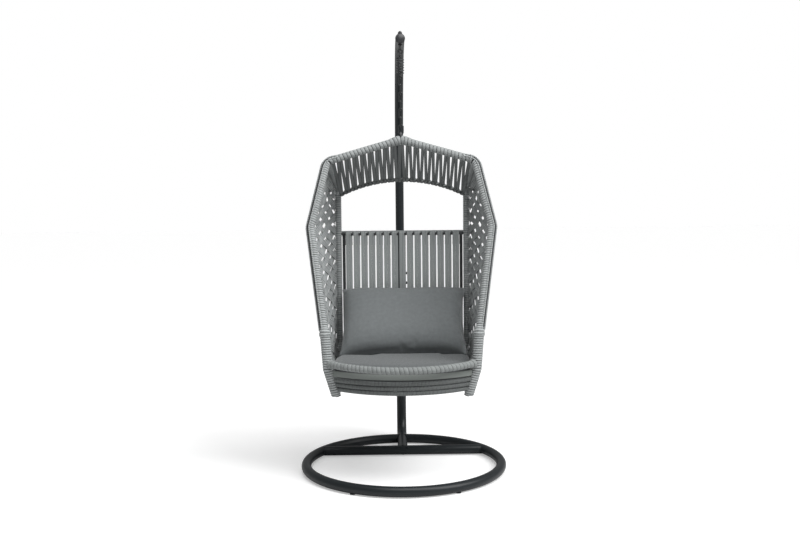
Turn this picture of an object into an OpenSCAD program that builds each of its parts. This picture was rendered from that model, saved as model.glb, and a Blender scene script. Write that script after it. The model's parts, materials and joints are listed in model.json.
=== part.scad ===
// Hanging egg chair on a free-standing hoop stand.
// The origin is on the floor, below the middle of the whole object's box; the chair faces -Y.

/* [Stand] */
// Height from the floor to the top of the dome nut
total_h = 2010; // [1960:5:2060]
// Outside diameter of the base ring
ring_od = 950; // [930:5:1000]
// Diameter of the tube of the base ring and cross bar
ring_tube_d = 45; // [40:0.5:46]
// Wall of the tube of the base ring and cross bar
ring_tube_wall = 2; // [1.5:0.1:3]
// Distance of the cross bar behind the middle of the ring
cross_bar_y = 225; // [180:5:260]
// Distance of the post behind the hook axis
post_y = 580; // [570:5:620]
// Diameter of the lower post
lower_post_d = 48.3; // [46.6:0.1:49]
// Wall of the lower post
lower_post_wall = 2.65; // [1.6:0.05:2.65]
// Radius of the bend at the foot of the lower post
foot_bend_r = 100; // [90:1:105]
// Height of the top of the lower post
lower_post_top = 900; // [800:5:1000]
// Diameter of the upper post
upper_post_d = 42.4; // [40:0.1:42.4]
// Wall of the upper post
upper_post_wall = 2; // [1.5:0.1:3]
// Length of the upper post that stands inside the lower one
post_insert = 120; // [100:5:160]
// Radius of the arc at the top of the upper post
arc_r = 530; // [500:5:540]
// Reach of the arm in front of the hook axis
arm_reach = 32; // [26:1:60]
// Width of the arm's end cap
cap_d = 44; // [43:0.5:48]
// Thickness of a floor glide
glide_t = 3; // [2.5:0.5:6]
// Diameter of a floor glide
glide_d = 24; // [16:1:30]
// Number of floor glides
glide_count = 6; // [4:2:8]
// Diameter of the post bolts
post_bolt_d = 8; // [6:0.5:10]
// Spacing of the two post bolts
post_bolt_pitch = 50; // [40:1:60]

/* [Suspension] */
// Diameter of the eye bolt's shank
eye_shank_d = 10; // [8:0.5:12]
// Diameter of the rod of the eye bolt's ring
eye_rod_d = 7; // [6:0.5:7.5]
// Inside diameter of the eye bolt's ring
eye_bore_d = 14; // [13.5:0.5:18]
// Wire diameter of the top link
link_wire_d = 6; // [5:0.5:6]
// Inside length of the top link
link_in_l = 17; // [16:0.5:24]
// Inside width of the top link
link_in_w = 12; // [11.5:0.5:16]
// Wire diameter of the spring
spring_wire_d = 5; // [4:0.5:5]
// Outside diameter of the spring's coils
spring_od = 32; // [30:1:38]
// Number of the spring's coils
spring_turns = 6; // [5:1:7]
// Pitch of the spring's coils, hung with the chair's weight
spring_pitch = 11.8; // [10:0.2:12]
// Mean radius of the spring's hooks
spring_hook_r = 8; // [8:0.5:10]
// Stretch of the spring under a sitter
spring_travel = 30; // [10:1:40]
// Wire diameter of the chain
chain_wire_d = 6; // [4:0.5:6]
// Inside length of a chain link
chain_in_l = 37; // [35:0.5:38]
// Inside width of a chain link
chain_in_w = 9; // [8:0.5:12]
// Number of chain links
chain_count = 6; // [4:2:6]
// Wire diameter of the snap hook
snap_wire_d = 6; // [5:0.5:6]
// Inside width of the snap hook
snap_in_w = 16; // [16:0.5:22]
// Inside length of the snap hook
snap_in_l = 36.2; // [34:0.1:40]
// Opening angle of the snap hook's gate
gate_angle = 15; // [5:1:15]
// Rod diameter of the hanging eye
hanger_rod_d = 8; // [6:0.5:8]
// Inside width of the hanging eye
hanger_in_w = 18; // [16:0.5:24]
// Height of the hanging eye's hole over the wrapped rim
hanger_h = 13; // [12:0.5:18]

/* [Chair frame] */
// Diameter of the frame tube
tube_d = 22; // [18:0.5:24]
// Wall of the frame tube
tube_wall = 1.5; // [1:0.1:2.5]
// Thickness of the rope wrapped on the frame
wrap_t = 3.9; // [2:0.1:4.5]
// Diameter of the back rail and hood arch
rail_d = 16; // [12:0.5:18]
// Turn of the hanging chair about the hook axis
chair_turn = -1.6; // [-3:0.1:3]
// Height of the rim's apex
apex_h = 1522; // [1514:1:1530]
// Width across the rim's top corners
corner_w = 668; // [660:2:680]
// Height of the rim's top corners
corner_h = 1425; // [1418:1:1432]
// Distance of the top corners in front of the hook axis
corner_y = 46; // [36:1:56]
// Width across the rim's widest points
widest_w = 806; // [794:2:822]
// Height of the rim's widest points
widest_h = 1131; // [1111:1:1151]
// Distance of the widest points in front of the hook axis
widest_y = 129; // [120:1:138]
// Width across the rim's knuckles
knuckle_w = 671; // [665:1:681]
// Height of the rim's knuckles
knuckle_h = 681; // [665:2:697]
// Distance of the knuckles in front of the hook axis
knuckle_y = 280; // [276:1:284]
// Width of the rim at the elbows
elbow_w = 646; // [640:2:652]
// Height of the elbows
elbow_h = 521; // [518:1:523]
// Distance of the elbows in front of the hook axis
elbow_y = 290; // [288:1:292]
// Width of the rim at its feet
foot_w = 556; // [552:1:566]
// Height of the rim's feet
foot_h = 400; // [396:1:404]
// Distance of the feet in front of the hook axis
foot_y = 284; // [282:1:286]
// Width between the axes of the back uprights
upright_w = 620; // [616:2:628]
// Distance of the back uprights behind the hook axis
upright_y = 268; // [258:2:278]
// Height of the bend of the back uprights
upright_bend_h = 1306; // [1304:1:1312]
// Height of the back rail
back_rail_h = 1084; // [1064:5:1104]
// Height of the middle of the hood arch
arch_h = 1344; // [1335:1:1355]
// Height of the ends of the hood arch
arch_end_h = 1268; // [1258:1:1269]
// Distance of the middle of the arch behind the hook axis
arch_y = 218; // [208:2:228]
// Height of the front rail
front_rail_h = 545; // [543:1:553]
// Bow of the front rail
front_rail_bow = 150; // [140:1:156]
// Drop of the front rail towards its middle
front_rail_drop = 8; // [0:1:12]
// Height of the seat rails
seat_rail_h = 419; // [417:1:422]

/* [Apron] */
// Diameter of an apron bar
bar_d = 10; // [8:0.5:11]
// Thickness of the rope on an apron bar
bar_wrap_t = 2.9; // [2:0.1:3]
// Height of the top apron bar
bar_top_h = 475.5; // [474:0.5:477]
// Pitch of the apron bars
bar_pitch = 20.5; // [18:0.5:20.5]
// Number of apron bars
bar_count = 3; // [2:1:3]
// Bow of the apron bars and band
bar_bow = 110; // [100:1:115]
// Height of the middle of the front band
band_h = 503; // [502:1:504]
// Width of the front band
band_w = 21; // [18:0.5:22]
// Thickness of the front band
band_t = 4; // [3:0.5:5]

/* [Straps and nets] */
// Thickness of a strap
strap_t = 3; // [2:0.1:3.5]
// Width of one rope of a back strap
rope_w = 14; // [12:0.5:15]
// Pitch of the back straps
back_pitch = 37; // [36:0.5:38]
// Number of back straps
back_count = 15; // [11:2:15]
// Width of a hood strap
lace_w = 11; // [9:0.5:13]
// Pitch of the hood lacing
lace_pitch = 35; // [32:0.5:36]
// Number of loops of the hood lacing
lace_count = 16; // [12:2:16]
// Width of a seat strap
deck_w = 30; // [24:1:32]
// Number of seat straps
deck_count = 12; // [8:1:12]
// Thickness of the side nets
net_t = 5; // [3:0.5:6]
// Number of columns of holes in a side net
net_cols = 4; // [3:1:5]
// Number of rows of holes in a side net
net_rows = 16; // [12:1:18]
// Height of the side nets' lower edge
net_low_h = 446; // [442:1:454]
// Diameter of the braided cord on the rim's outer edge
edge_cord_d = 9; // [6:0.5:10]

/* [Cushions] */
// Width of the seat cushion
cushion_w = 596; // [580:2:600]
// Height of the top of the seat cushion
cushion_top_h = 550; // [540:1:560]
// Height of the seat cushion's boxed side
cushion_side = 78; // [60:1:85]
// Distance of the seat cushion's back edge behind the hook axis
cushion_back_y = 240; // [228:1:242]
// Width of the pillow
pillow_w = 606; // [566:2:608]
// Height of the pillow along its lean
pillow_h = 372; // [340:2:380]
// Thickness of the pillow at its crown
pillow_t = 150; // [110:2:160]
// Lean of the pillow from upright
pillow_lean = 43; // [35:1:48]

/* [Hidden] */
$fn = 48;

powder = "#2b3032";
zinc = "#3a3d3f";
rope = "#a3a8a8";
bare_tube = "#4a4e50";
cloth = "#6b7171";
nylon = "#26282a";

gap = 0.3;                                  // running gap between curved faces
slip = 0.1;                                 // clearance of a sleeve on its tube
bend_slim = 0.1;                            // how much slimmer a bend is than a straight run
bend_lap = 1;                               // how far a straight run reaches over a bend
ring_r = (ring_od - ring_tube_d) / 2;
ring_z = glide_t + ring_tube_d / 2;
hook_y = -(post_y + lower_post_d / 2 - ring_od / 2) / 2;
cross_bar_half = sqrt(ring_r * ring_r - cross_bar_y * cross_bar_y);

// Dome nut, washer and bush flange, stacked on the arm
dome_h = 13;
dome_d = 17;
washer_t = 1.8;
washer_d = 22;
flange_t = 2;
flange_d = 20;
bush_d = 14;
bush_l = 12;
pin_slip = 0.05;                            // radial clearance of the shank in its bushes
arm_z = total_h - dome_h - washer_t - flange_t - upper_post_d / 2;
arc_z = arm_z - arc_r;

// Heights of the suspension, from the arm down
collar_t = 3;
collar_z = arm_z - upper_post_d / 2 - flange_t - gap - collar_t;
eye_r = (eye_bore_d + eye_rod_d) / 2;
eye_z = collar_z - eye_r - eye_rod_d / 2 + 1.5;
eye_low_z = eye_z - eye_bore_d / 2;         // top of the ring's rod, on which the link hangs
link_top_z = eye_low_z + gap;               // inner face of the top link's upper end
link_low_z = link_top_z - link_in_l;        // inner face of its lower end
spring_hook_z = link_low_z + gap + spring_wire_d / 2 - spring_hook_r;
spring_lead = 3;                            // from a hook's middle to the first coil, past its radius
coil_top_z = spring_hook_z - spring_hook_r - spring_lead;
coil_low_z = coil_top_z - spring_turns * spring_pitch;
low_hook_z = coil_low_z - spring_lead - spring_hook_r;
low_hook_in_z = low_hook_z - spring_hook_r + spring_wire_d / 2;
chain_top_z = low_hook_in_z + gap;          // inner face of the first link's upper end
chain_step = chain_in_l - gap;
chain_low_z = chain_top_z - (chain_count - 1) * chain_step - chain_in_l;
snap_top_z = chain_low_z + gap;
wrap_d = tube_d + 2 * (slip + wrap_t);
hanger_top_z = apex_h + wrap_d / 2 + hanger_h;  // inner face of the hanging eye's top
snap_low_z = snap_top_z - snap_in_l;        // upper face of the snap hook's lower end
chair_rise = snap_low_z + gap - hanger_top_z;   // what the hook lifts the chair's own heights by

// Points of the rim, right half, from the apex down
apex = [0, 0, apex_h];
corner = [corner_w / 2, -corner_y, corner_h];
widest = [widest_w / 2, -widest_y, widest_h];
knuckle = [knuckle_w / 2, -knuckle_y, knuckle_h];
elbow = [elbow_w / 2, -elbow_y, elbow_h];
foot = [foot_w / 2, -foot_y, foot_h];
rim_half = [corner, widest, knuckle, elbow, foot];
rim_half_r = [45, 60, 60, 40, 0];
rim_points = concat([for (i = [4:-1:0]) flip(rim_half[i])], [apex], rim_half);
rim_radii = concat([for (i = [4:-1:0]) rim_half_r[i]], [60], rim_half_r);
upright_foot = [upright_w / 2, upright_y, foot_h];
upright_bend = [upright_w / 2, upright_y, upright_bend_h];
seat_front = on_line(elbow, foot, seat_rail_h);
seat_back = [upright_w / 2, upright_y, seat_rail_h];
core_d = tube_d + 2 * slip;                 // bore of a sleeve on the frame tube
crossing_d = core_d + 0.2;                  // hole in a sleeve, where another tube passes through its wall
bar_wrap_d = bar_d + 2 * (slip + bar_wrap_t);
rail_bore_d = rail_d + 0.4;                 // hole in a sleeve for a thin rail
upright_bend_r = 35;
loop_r = rail_d / 2 + gap;                  // bore radius of a strap's loop round a thin rail
deck_z = seat_rail_h + wrap_d / 2 + gap;    // underside of the seat straps
web_t = strap_t - 0.4;                      // a strap's own run lies within the wall of its loop

function flip(p) = [-p[0], p[1], p[2]];
function unit(v) = v / norm(v);
function on_line(a, b, z) = a + (b - a) * (z - a[2]) / (b[2] - a[2]);
function shorten(a, b, d) = b - unit(b - a) * d;

// Puts its children with their +Z along a to b, and their +X as near as can be to side
module along(a, b, side = [1, 0, 0]) {
    z = unit(b - a);
    y = unit(cross(z, side));
    x = cross(y, z);
    multmatrix([[x[0], y[0], z[0], a[0]], [x[1], y[1], z[1], a[1]], [x[2], y[2], z[2], a[2]], [0, 0, 0, 1]])
        children();
}

module at_hook() translate([0, hook_y, 0]) children();
module at_chair() at_hook() translate([0, 0, chair_rise]) rotate([0, 0, chair_turn]) children();
module both_sides() { children(); mirror([1, 0, 0]) children(); }

module pipe(l, d, wall) {
    difference() {
        cylinder(h = l, d = d);
        if (wall > 0) translate([0, 0, -1]) cylinder(h = l + 2, d = d - 2 * wall);
    }
}

module tube_section(d, wall) {
    difference() {
        circle(d = d);
        if (wall > 0) circle(d = d - 2 * wall);
    }
}

// Rod along straight runs through points, with a bend of radius radii[i] at each inner one, over longer at both
// ends. The bends are a touch slimmer, as bent tube is, and the straight runs reach a little way over them.
module bent_rod(points, radii, d, over = 0) {
    last = len(points) - 1;
    turn = [for (i = [0:last]) i == 0 || i == last ? 0 :
        acos(min(1, unit(points[i] - points[i - 1]) * unit(points[i + 1] - points[i])))];
    lead = [for (i = [0:last]) i == 0 || i == last ? -over : radii[i] * tan(turn[i] / 2) - bend_lap];
    for (i = [0:last - 1]) {
        dir = unit(points[i + 1] - points[i]);
        a = points[i] + dir * lead[i];
        b = points[i + 1] - dir * lead[i + 1];
        along(a, b, abs(dir[0]) > 0.9 ? [0, 1, 0] : [1, 0, 0]) cylinder(h = norm(b - a), d = d);
    }
    for (i = [1:last - 1]) {
        u = unit(points[i] - points[i - 1]);
        w = unit(points[i + 1] - points[i]);
        n = unit(w - (u * w) * u);
        c = points[i] - u * (lead[i] + bend_lap) + n * radii[i];
        k = cross(-n, u);
        multmatrix([[-n[0], u[0], k[0], c[0]], [-n[1], u[1], k[1], c[1]], [-n[2], u[2], k[2], c[2]], [0, 0, 0, 1]])
            rotate_extrude(angle = turn[i], $fn = 96) translate([radii[i], 0]) circle(d = d - bend_slim);
    }
}

module bent_tube(points, radii, d, wall) {
    difference() {
        bent_rod(points, radii, d);
        if (wall > 0) bent_rod(points, radii, d - 2 * wall, 1);
    }
}

// Arc from -chord/2 to +chord/2 along X through mid, its ends at y, z of end; the profile's +X points outwards
module bowed(end, mid) {
    rise = [0, mid[1] - end[1], mid[2] - end[2]];
    s = norm(rise);
    r = (end[0] * end[0] + s * s) / (2 * s);
    half = asin(end[0] / r);
    up = unit(rise);
    side = cross(up, [1, 0, 0]);
    c = [0, mid[1], mid[2]] - up * r;
    multmatrix([[1, 0, 0, c[0]], [0, up[1], side[1], c[1]], [0, up[2], side[2], c[2]], [0, 0, 0, 1]])
        rotate([0, 0, 90 - half]) rotate_extrude(angle = 2 * half, $fn = 128) translate([r, 0]) children();
}

// ---- Stand ----
module spine_bore() {
    translate([0, cross_bar_y, ring_z]) rotate([-90, 0, 0]) cylinder(h = post_y - foot_bend_r - cross_bar_y,
        d = lower_post_d);
}

module base_ring() {
    color(powder) at_hook() difference() {
        translate([0, 0, ring_z]) rotate_extrude($fn = 128) translate([ring_r, 0])
            tube_section(ring_tube_d, ring_tube_wall);
        spine_bore();
    }
}

module cross_bar() {
    color(powder) at_hook() difference() {
        translate([-cross_bar_half, cross_bar_y, ring_z]) rotate([0, 90, 0])
            pipe(2 * cross_bar_half, ring_tube_d, ring_tube_wall);
        translate([0, 0, ring_z]) rotate_extrude($fn = 128) translate([ring_r, 0]) circle(d = ring_tube_d);
    }
}

module post_bolt_places() {
    for (i = [0, 1]) translate([0, post_y, lower_post_top - post_insert / 2 + (i - 0.5) * post_bolt_pitch])
        rotate([0, 90, 0]) children();
}

module post_holes() {
    post_bolt_places() translate([0, 0, -lower_post_d]) cylinder(h = 2 * lower_post_d, d = post_bolt_d + 0.4);
}

module lower_post() {
    bend_y = post_y - foot_bend_r;
    color(powder) at_hook() difference() {
        union() {
            translate([0, cross_bar_y, ring_z]) rotate([-90, 0, 0])
                pipe(bend_y - cross_bar_y, lower_post_d, lower_post_wall);
            translate([0, bend_y, ring_z + foot_bend_r]) rotate([0, 90, 0]) rotate_extrude(angle = 90, $fn = 96)
                translate([foot_bend_r, 0]) tube_section(lower_post_d, lower_post_wall);
            translate([0, post_y, ring_z + foot_bend_r])
                pipe(lower_post_top - ring_z - foot_bend_r, lower_post_d, lower_post_wall);
        }
        translate([-ring_tube_d, cross_bar_y, ring_z]) rotate([0, 90, 0])
            cylinder(h = 2 * ring_tube_d, d = ring_tube_d);
        post_holes();
    }
}

module upper_post() {
    low = lower_post_top - post_insert;
    color(powder) at_hook() difference() {
        union() {
            translate([0, post_y, low]) pipe(arc_z - low, upper_post_d, upper_post_wall);
            translate([0, post_y - arc_r, arc_z]) rotate([90, 0, 90]) rotate_extrude(angle = 90, $fn = 160)
                translate([arc_r, 0]) tube_section(upper_post_d, upper_post_wall);
            translate([0, -arm_reach, arm_z]) rotate([-90, 0, 0])
                pipe(post_y - arc_r + arm_reach, upper_post_d, upper_post_wall);
        }
        post_holes();
        translate([0, 0, arm_z - upper_post_d]) cylinder(h = 2 * upper_post_d, d = bush_d);
    }
}

module post_bolts() {
    color(zinc) at_hook() post_bolt_places() {
        translate([0, 0, -lower_post_d / 2 - 1]) cylinder(h = lower_post_d + 9, d = post_bolt_d);
        translate([0, 0, -lower_post_d / 2 - 6]) rotate_extrude()
            polygon([[0, 0], [4.5, 0.4], [6.6, 2.2], [7, 3.6], [7, 6], [0, 6]]);
    }
}

module post_nuts() {
    color(zinc) at_hook() post_bolt_places() translate([0, 0, lower_post_d / 2]) difference() {
        union() {
            cylinder(h = 7, d = 15, $fn = 6);
            translate([0, 0, 7]) intersection() {
                sphere(d = 13.5);
                cylinder(h = 7, d = 14);
            }
        }
        translate([0, 0, -1]) cylinder(h = 9.1, d = post_bolt_d);
    }
}

module arm_end_cap() {
    dome = 9;
    plug = upper_post_d - 2 * upper_post_wall - 2 * slip;
    color(nylon) at_hook() translate([0, -arm_reach, arm_z]) rotate([90, 0, 0]) {
        translate([0, 0, -8]) difference() {
            cylinder(h = 8, d = plug);
            translate([0, 0, -1]) cylinder(h = 7, d = plug - 5);
        }
        rotate_extrude($fn = 64) intersection() {
            translate([0, dome - (cap_d * cap_d / 4 + dome * dome) / (2 * dome)])
                circle(r = (cap_d * cap_d / 4 + dome * dome) / (2 * dome));
            square([cap_d, dome + 1]);
        }
    }
}

module floor_glides() {
    color(nylon) at_hook() for (i = [0:glide_count - 1]) rotate([0, 0, -90 + (i + 0.5) * 360 / glide_count])
        translate([ring_r, 0, 0]) difference() {
            cylinder(h = glide_t + 1.6, d = glide_d);
            rotate([90, 0, 0]) translate([0, ring_z, -glide_d]) cylinder(h = 2 * glide_d, d = ring_tube_d + 2 * slip);
        }
}

module swivel_bushes() {
    color(nylon) at_hook() translate([0, 0, arm_z]) for (side = [0, 1]) mirror([0, 0, side])
        translate([0, 0, upper_post_d / 2]) difference() {
            union() {
                cylinder(h = flange_t, d = flange_d);
                translate([0, 0, -bush_l]) cylinder(h = bush_l + 1, d = bush_d - 2 * slip);
            }
            translate([0, 0, -bush_l - 1]) cylinder(h = bush_l + flange_t + 2, d = eye_shank_d + 2 * pin_slip);
        }
}

// ---- Suspension ----
module eye_bolt() {
    color(zinc) at_hook() {
        translate([0, 0, eye_z]) rotate([90, 0, 90]) rotate_extrude() translate([eye_r, 0]) circle(d = eye_rod_d);
        translate([0, 0, collar_z]) cylinder(h = collar_t, d = flange_d - 2);
        translate([0, 0, collar_z + 1]) cylinder(h = total_h - dome_h / 2 - collar_z - 1, d = eye_shank_d);
    }
}

module nut_washer() {
    color(zinc) at_hook() translate([0, 0, total_h - dome_h - washer_t]) difference() {
        cylinder(h = washer_t, d = washer_d);
        translate([0, 0, -1]) cylinder(h = washer_t + 2, d = eye_shank_d + 0.4);
    }
}

module dome_nut() {
    hex_h = 6;
    color(zinc) at_hook() translate([0, 0, total_h - dome_h]) difference() {
        union() {
            cylinder(h = hex_h, d = dome_d * 1.12, $fn = 6);
            translate([0, 0, hex_h]) rotate_extrude() intersection() {
                translate([0, dome_h - hex_h - dome_d / 2]) circle(d = dome_d);
                square([dome_d, dome_h]);
            }
        }
        translate([0, 0, -1]) cylinder(h = dome_h / 2 + 1, d = eye_shank_d);
    }
}

// Oval ring in the XZ plane, hung by the inner face of its upper end from the origin
module oval_link(wire, in_l, in_w) {
    r = (in_w + wire) / 2;
    straight = in_l - in_w;
    translate([0, 0, -in_w / 2 - straight]) rotate([90, 0, 0]) {
        for (side = [0, 1]) translate([0, (1 - side) * straight, 0]) rotate([0, 0, side * 180])
            rotate_extrude(angle = 180) translate([r, 0]) circle(d = wire);
        for (side = [-1, 1]) translate([side * r, 0, 0]) rotate([-90, 0, 0]) cylinder(h = straight, d = wire);
    }
}

module top_link() {
    color(zinc) at_hook() translate([0, 0, link_top_z]) oval_link(link_wire_d, link_in_l, link_in_w);
}

// Closed tube swept along a path; each ring of sides points stands square to the path
function path_dir(p, i) = unit(p[min(i + 1, len(p) - 1)] - p[max(i - 1, 0)]);
function square_to(v, t) = unit(v - (v * t) * t);
function carried(p, first) = [for (i = 0, n = square_to(first, path_dir(p, 0)); i < len(p);
    i = i + 1, n = i < len(p) ? square_to(n, path_dir(p, i)) : n) n];
module swept(p, d, sides, first) {
    n = carried(p, first);
    points = [for (i = [0:len(p) - 1]) let (t = path_dir(p, i), b = cross(t, n[i]))
        for (k = [0:sides - 1]) p[i] + d / 2 * (n[i] * cos(360 * k / sides) + b * sin(360 * k / sides))];
    m = sides * (len(p) - 1);
    walls = [for (i = [0:len(p) - 2], k = [0:sides - 1]) let (a = i * sides + k, b = i * sides + (k + 1) % sides)
        each [[a, b + sides, b], [a, a + sides, b + sides]]];
    ends = [for (k = [1:sides - 2]) each [[0, k, k + 1], [m, m + k + 1, m + k]]];
    polyhedron(points, concat(walls, ends), convexity = 6);
}

function bezier(a, b, c, d, n) = [for (i = [1:n - 1]) let (s = i / n)
    pow(1 - s, 3) * a + 3 * s * pow(1 - s, 2) * b + 3 * s * s * (1 - s) * c + pow(s, 3) * d];

spring_r = (spring_od - spring_wire_d) / 2;
coil_rings = 8;                             // rings to one coil
hook_rings = 7;                             // rings to one hook
hook_sweep = 250;                           // arc of a hook, from its open end to its root
hook_start = 180 - hook_sweep;              // angle of a hook's open end, past which its wire runs on straight
function hook_point(t) = [0, spring_hook_r * cos(t), spring_hook_z + spring_hook_r * sin(t)];
// Upper hook in the YZ plane, from its open end over the top to its root on the -Y side
upper_hook = concat(
    [hook_point(hook_start) + spring_wire_d * [0, sin(hook_start), -cos(hook_start)]],
    [for (i = [0:hook_rings]) hook_point(hook_start + hook_sweep * i / hook_rings)]);
hook_last = len(upper_hook) - 1;
lead_pull = [5, 0, 1];                      // how a lead runs on from the coil
helix = [for (i = [2:spring_turns * coil_rings - 2]) let (t = -90 - 360 * i / coil_rings)
    [spring_r * cos(t), spring_r * sin(t), coil_top_z - spring_pitch * i / coil_rings]];
lead_in = bezier(upper_hook[hook_last], upper_hook[hook_last] - [0, 0, 5], helix[0] + lead_pull, helix[0], 3);
lower_hook = [for (i = [hook_last:-1:0]) let (p = upper_hook[i])
    [0, p[1], low_hook_z + spring_hook_z - p[2]]];
helix_end = helix[len(helix) - 1];
lead_out = bezier(helix_end, helix_end + [-lead_pull[0], lead_pull[1], -lead_pull[2]],
    lower_hook[0] + [0, 0, 5], lower_hook[0], 3);
spring_path = concat(upper_hook, lead_in, helix, lead_out, lower_hook);
// Rings of the wire nearer than 6 along it belong to one stretch
spring_least_gap = min([for (i = [0:len(spring_path) - 1], j = [i + 6:1:len(spring_path) - 1])
    norm(spring_path[i] - spring_path[j])]) - spring_wire_d;
echo(spring_least_gap = spring_least_gap);

module spring() {
    color(zinc) at_hook() swept(spring_path, spring_wire_d, 6, [1, 0, 0]);
}

module chain() {
    color(zinc) at_hook() for (i = [0:chain_count - 1]) translate([0, 0, chain_top_z - i * chain_step])
        rotate([0, 0, i % 2 * 90]) oval_link(chain_wire_d, chain_in_l, chain_in_w);
}

snap_r = (snap_in_w + snap_wire_d) / 2;
snap_straight = snap_in_l - snap_in_w;
gate_h = max(snap_straight, 4);             // length of the side that the gate closes
gate_low_z = snap_low_z + snap_in_w / 2;
gate_lug = 1.6;                             // thickness of an ear beside the gate
gate_rise = 1.3;                            // height of the gate's foot over the ears, so that it clears them as it swings

module snap_hook() {
    color(zinc) at_hook() difference() {
        translate([0, 0, snap_top_z]) oval_link(snap_wire_d, snap_in_l, snap_in_w);
        translate([snap_r - snap_wire_d, -snap_wire_d, gate_low_z]) cube([2 * snap_wire_d, 2 * snap_wire_d, gate_h]);
        translate([snap_r, 0, gate_low_z - 3]) {
            translate([-snap_wire_d, -snap_wire_d / 2 + gate_lug - gap, 0])
                cube([2 * snap_wire_d, snap_wire_d - 2 * (gate_lug - gap), 4]);
            rotate([90, 0, 0]) translate([0, 1.6, -snap_wire_d]) cylinder(h = 2 * snap_wire_d, d = 1.6);
        }
    }
}

module snap_gate() {
    tongue = snap_wire_d - 2 * gate_lug;
    color(zinc) at_hook() translate([snap_r, 0, gate_low_z]) difference() {
        union() {
            translate([0, 0, gate_rise]) cylinder(h = gate_h - gap - gate_rise, d = snap_wire_d - 1);
            rotate([90, 0, 0]) translate([0, -1.4, -tongue / 2]) cylinder(h = tongue, d = 2.8);
            translate([-1.4, -tongue / 2, -1.4]) cube([2.8, tongue, 1.4 + gate_rise + gap]);
        }
        rotate([90, 0, 0]) translate([0, -1.4, -snap_wire_d]) cylinder(h = 2 * snap_wire_d, d = 1.4 + 0.1);
    }
}

module gate_pin() {
    color(zinc) at_hook() translate([snap_r, 0, gate_low_z - 1.4]) rotate([90, 0, 0])
        translate([0, 0, -snap_wire_d / 2 - 0.4]) cylinder(h = snap_wire_d + 0.8, d = 1.4);
}

// ---- Chair frame ----
module hanging_eye() {
    r = (hanger_in_w + hanger_rod_d) / 2;
    turn_z = hanger_top_z - hanger_in_w / 2;
    color(bare_tube) at_chair() difference() {
        union() {
            translate([0, 0, turn_z]) rotate([90, 0, 90]) rotate_extrude(angle = 180)
                translate([r, 0]) circle(d = hanger_rod_d);
            for (side = [-1, 1]) translate([0, side * r, apex_h]) cylinder(h = turn_z - apex_h, d = hanger_rod_d);
        }
        rim_core(0, 2 * slip);
    }
}

// The rim's tube or sleeve: grown by extra over the bare tube, open inside where wall is over 0
module rim_core(wall, extra) {
    bent_tube(rim_points, rim_radii, tube_d + extra, wall);
}

module rim_tube() {
    color(bare_tube) at_chair() rim_core(tube_wall, 0);
}

module rim_wrap() {
    color(rope) at_chair() difference() {
        rim_core(wrap_t, 2 * (slip + wrap_t));
        both_sides() {
            along(corner, upright_bend) cylinder(h = wrap_d, d = crossing_d);
            along(seat_front, seat_back) cylinder(h = wrap_d, d = crossing_d);
            along(rail_end, rail_near) cylinder(h = wrap_d, d = crossing_d);
        }
        for (i = [0:bar_count - 1]) apron_arc(bar_top_h - i * bar_pitch) circle(d = bar_d + 2 * slip);
        for (side = [-1, 1]) translate([0, side * (hanger_in_w + hanger_rod_d) / 2, apex_h])
            cylinder(h = wrap_d, d = hanger_rod_d + 2 * slip);
    }
}

// ---- Rails ----
rail_end = on_line(knuckle, elbow, front_rail_h);
rail_mid = [0, rail_end[1] - front_rail_bow, front_rail_h - front_rail_drop];
rail_near = on_bow(rail_end, rail_mid, rail_end[0] - wrap_d / 2);   // point of the rail's arc just inside the rim
rail_room = 1.8;                            // how far the rail's flat ends stop short of the rim's leaning tube
module apron_arc(h) {
    e = on_line(elbow, foot, h);
    bowed(e, [0, e[1] - bar_bow, h - 2]) children();
}
module rim_side(d) {
    both_sides() bent_tube([knuckle, elbow, foot - (elbow - foot) * 0.3], [0, 40, 0], d, 0);
}

module front_rail() {
    reach = unit(rail_near - rail_end) * (core_d / 2 + rail_room);
    color(bare_tube) at_chair() bowed(on_bow(rail_end, rail_mid, rail_end[0] + reach[0]), rail_mid)
        tube_section(tube_d, tube_wall);
}

module front_rail_wrap() {
    color(rope) at_chair() difference() {
        bowed(rail_end, rail_mid) tube_section(wrap_d, wrap_t);
        rim_side(wrap_d + 2 * gap);
    }
}

module apron_bars() {
    color(bare_tube) at_chair() difference() {
        for (i = [0:bar_count - 1]) apron_arc(bar_top_h - i * bar_pitch) circle(d = bar_d);
        rim_side(core_d);
    }
}

module apron_wraps() {
    color(rope) at_chair() difference() {
        for (i = [0:bar_count - 1]) apron_arc(bar_top_h - i * bar_pitch)
            tube_section(bar_wrap_d, bar_wrap_t);
        rim_side(wrap_d + 2 * gap);
    }
}

module front_band() {
    color(rope) at_chair() difference() {
        apron_arc(band_h) square([band_t, band_w], center = true);
        rim_side(wrap_d + 2 * gap);
    }
}

// Braided cord down each side of the rim, on its outer edge: each corner moves out so that the cord lies on the wrap
edge_off = wrap_d / 2 + gap + edge_cord_d / 2;
edge_start = 50;                            // how far below the rim's top corner a cord begins
edge_run = [shorten(widest, corner, edge_start), widest, knuckle, elbow, foot];
function rim_out(i) = unit(cross(edge_run[i + 1] - edge_run[i], [0, 1, 0]));
edge_points = [for (i = [0:4]) let (a = rim_out(max(i - 1, 0)), b = rim_out(min(i, 3)))
    edge_run[i] + (a + b) / (1 + a * b) * edge_off];
module edge_cord() {
    color(rope) at_chair() both_sides() bent_rod(edge_points, [for (r = rim_half_r) r + edge_off], edge_cord_d);
}

// ---- Back ----
corner_room = 2.2;                          // how much sooner an upright ends, as the rim's corner bends down past it
function upright_run(d) = [upright_foot, upright_bend, shorten(upright_bend, corner, d + corner_room)];
module upright() {
    color(bare_tube) bent_tube(upright_run(tube_d / 2 + slip), [0, upright_bend_r, 0], tube_d, tube_wall);
}

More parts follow.
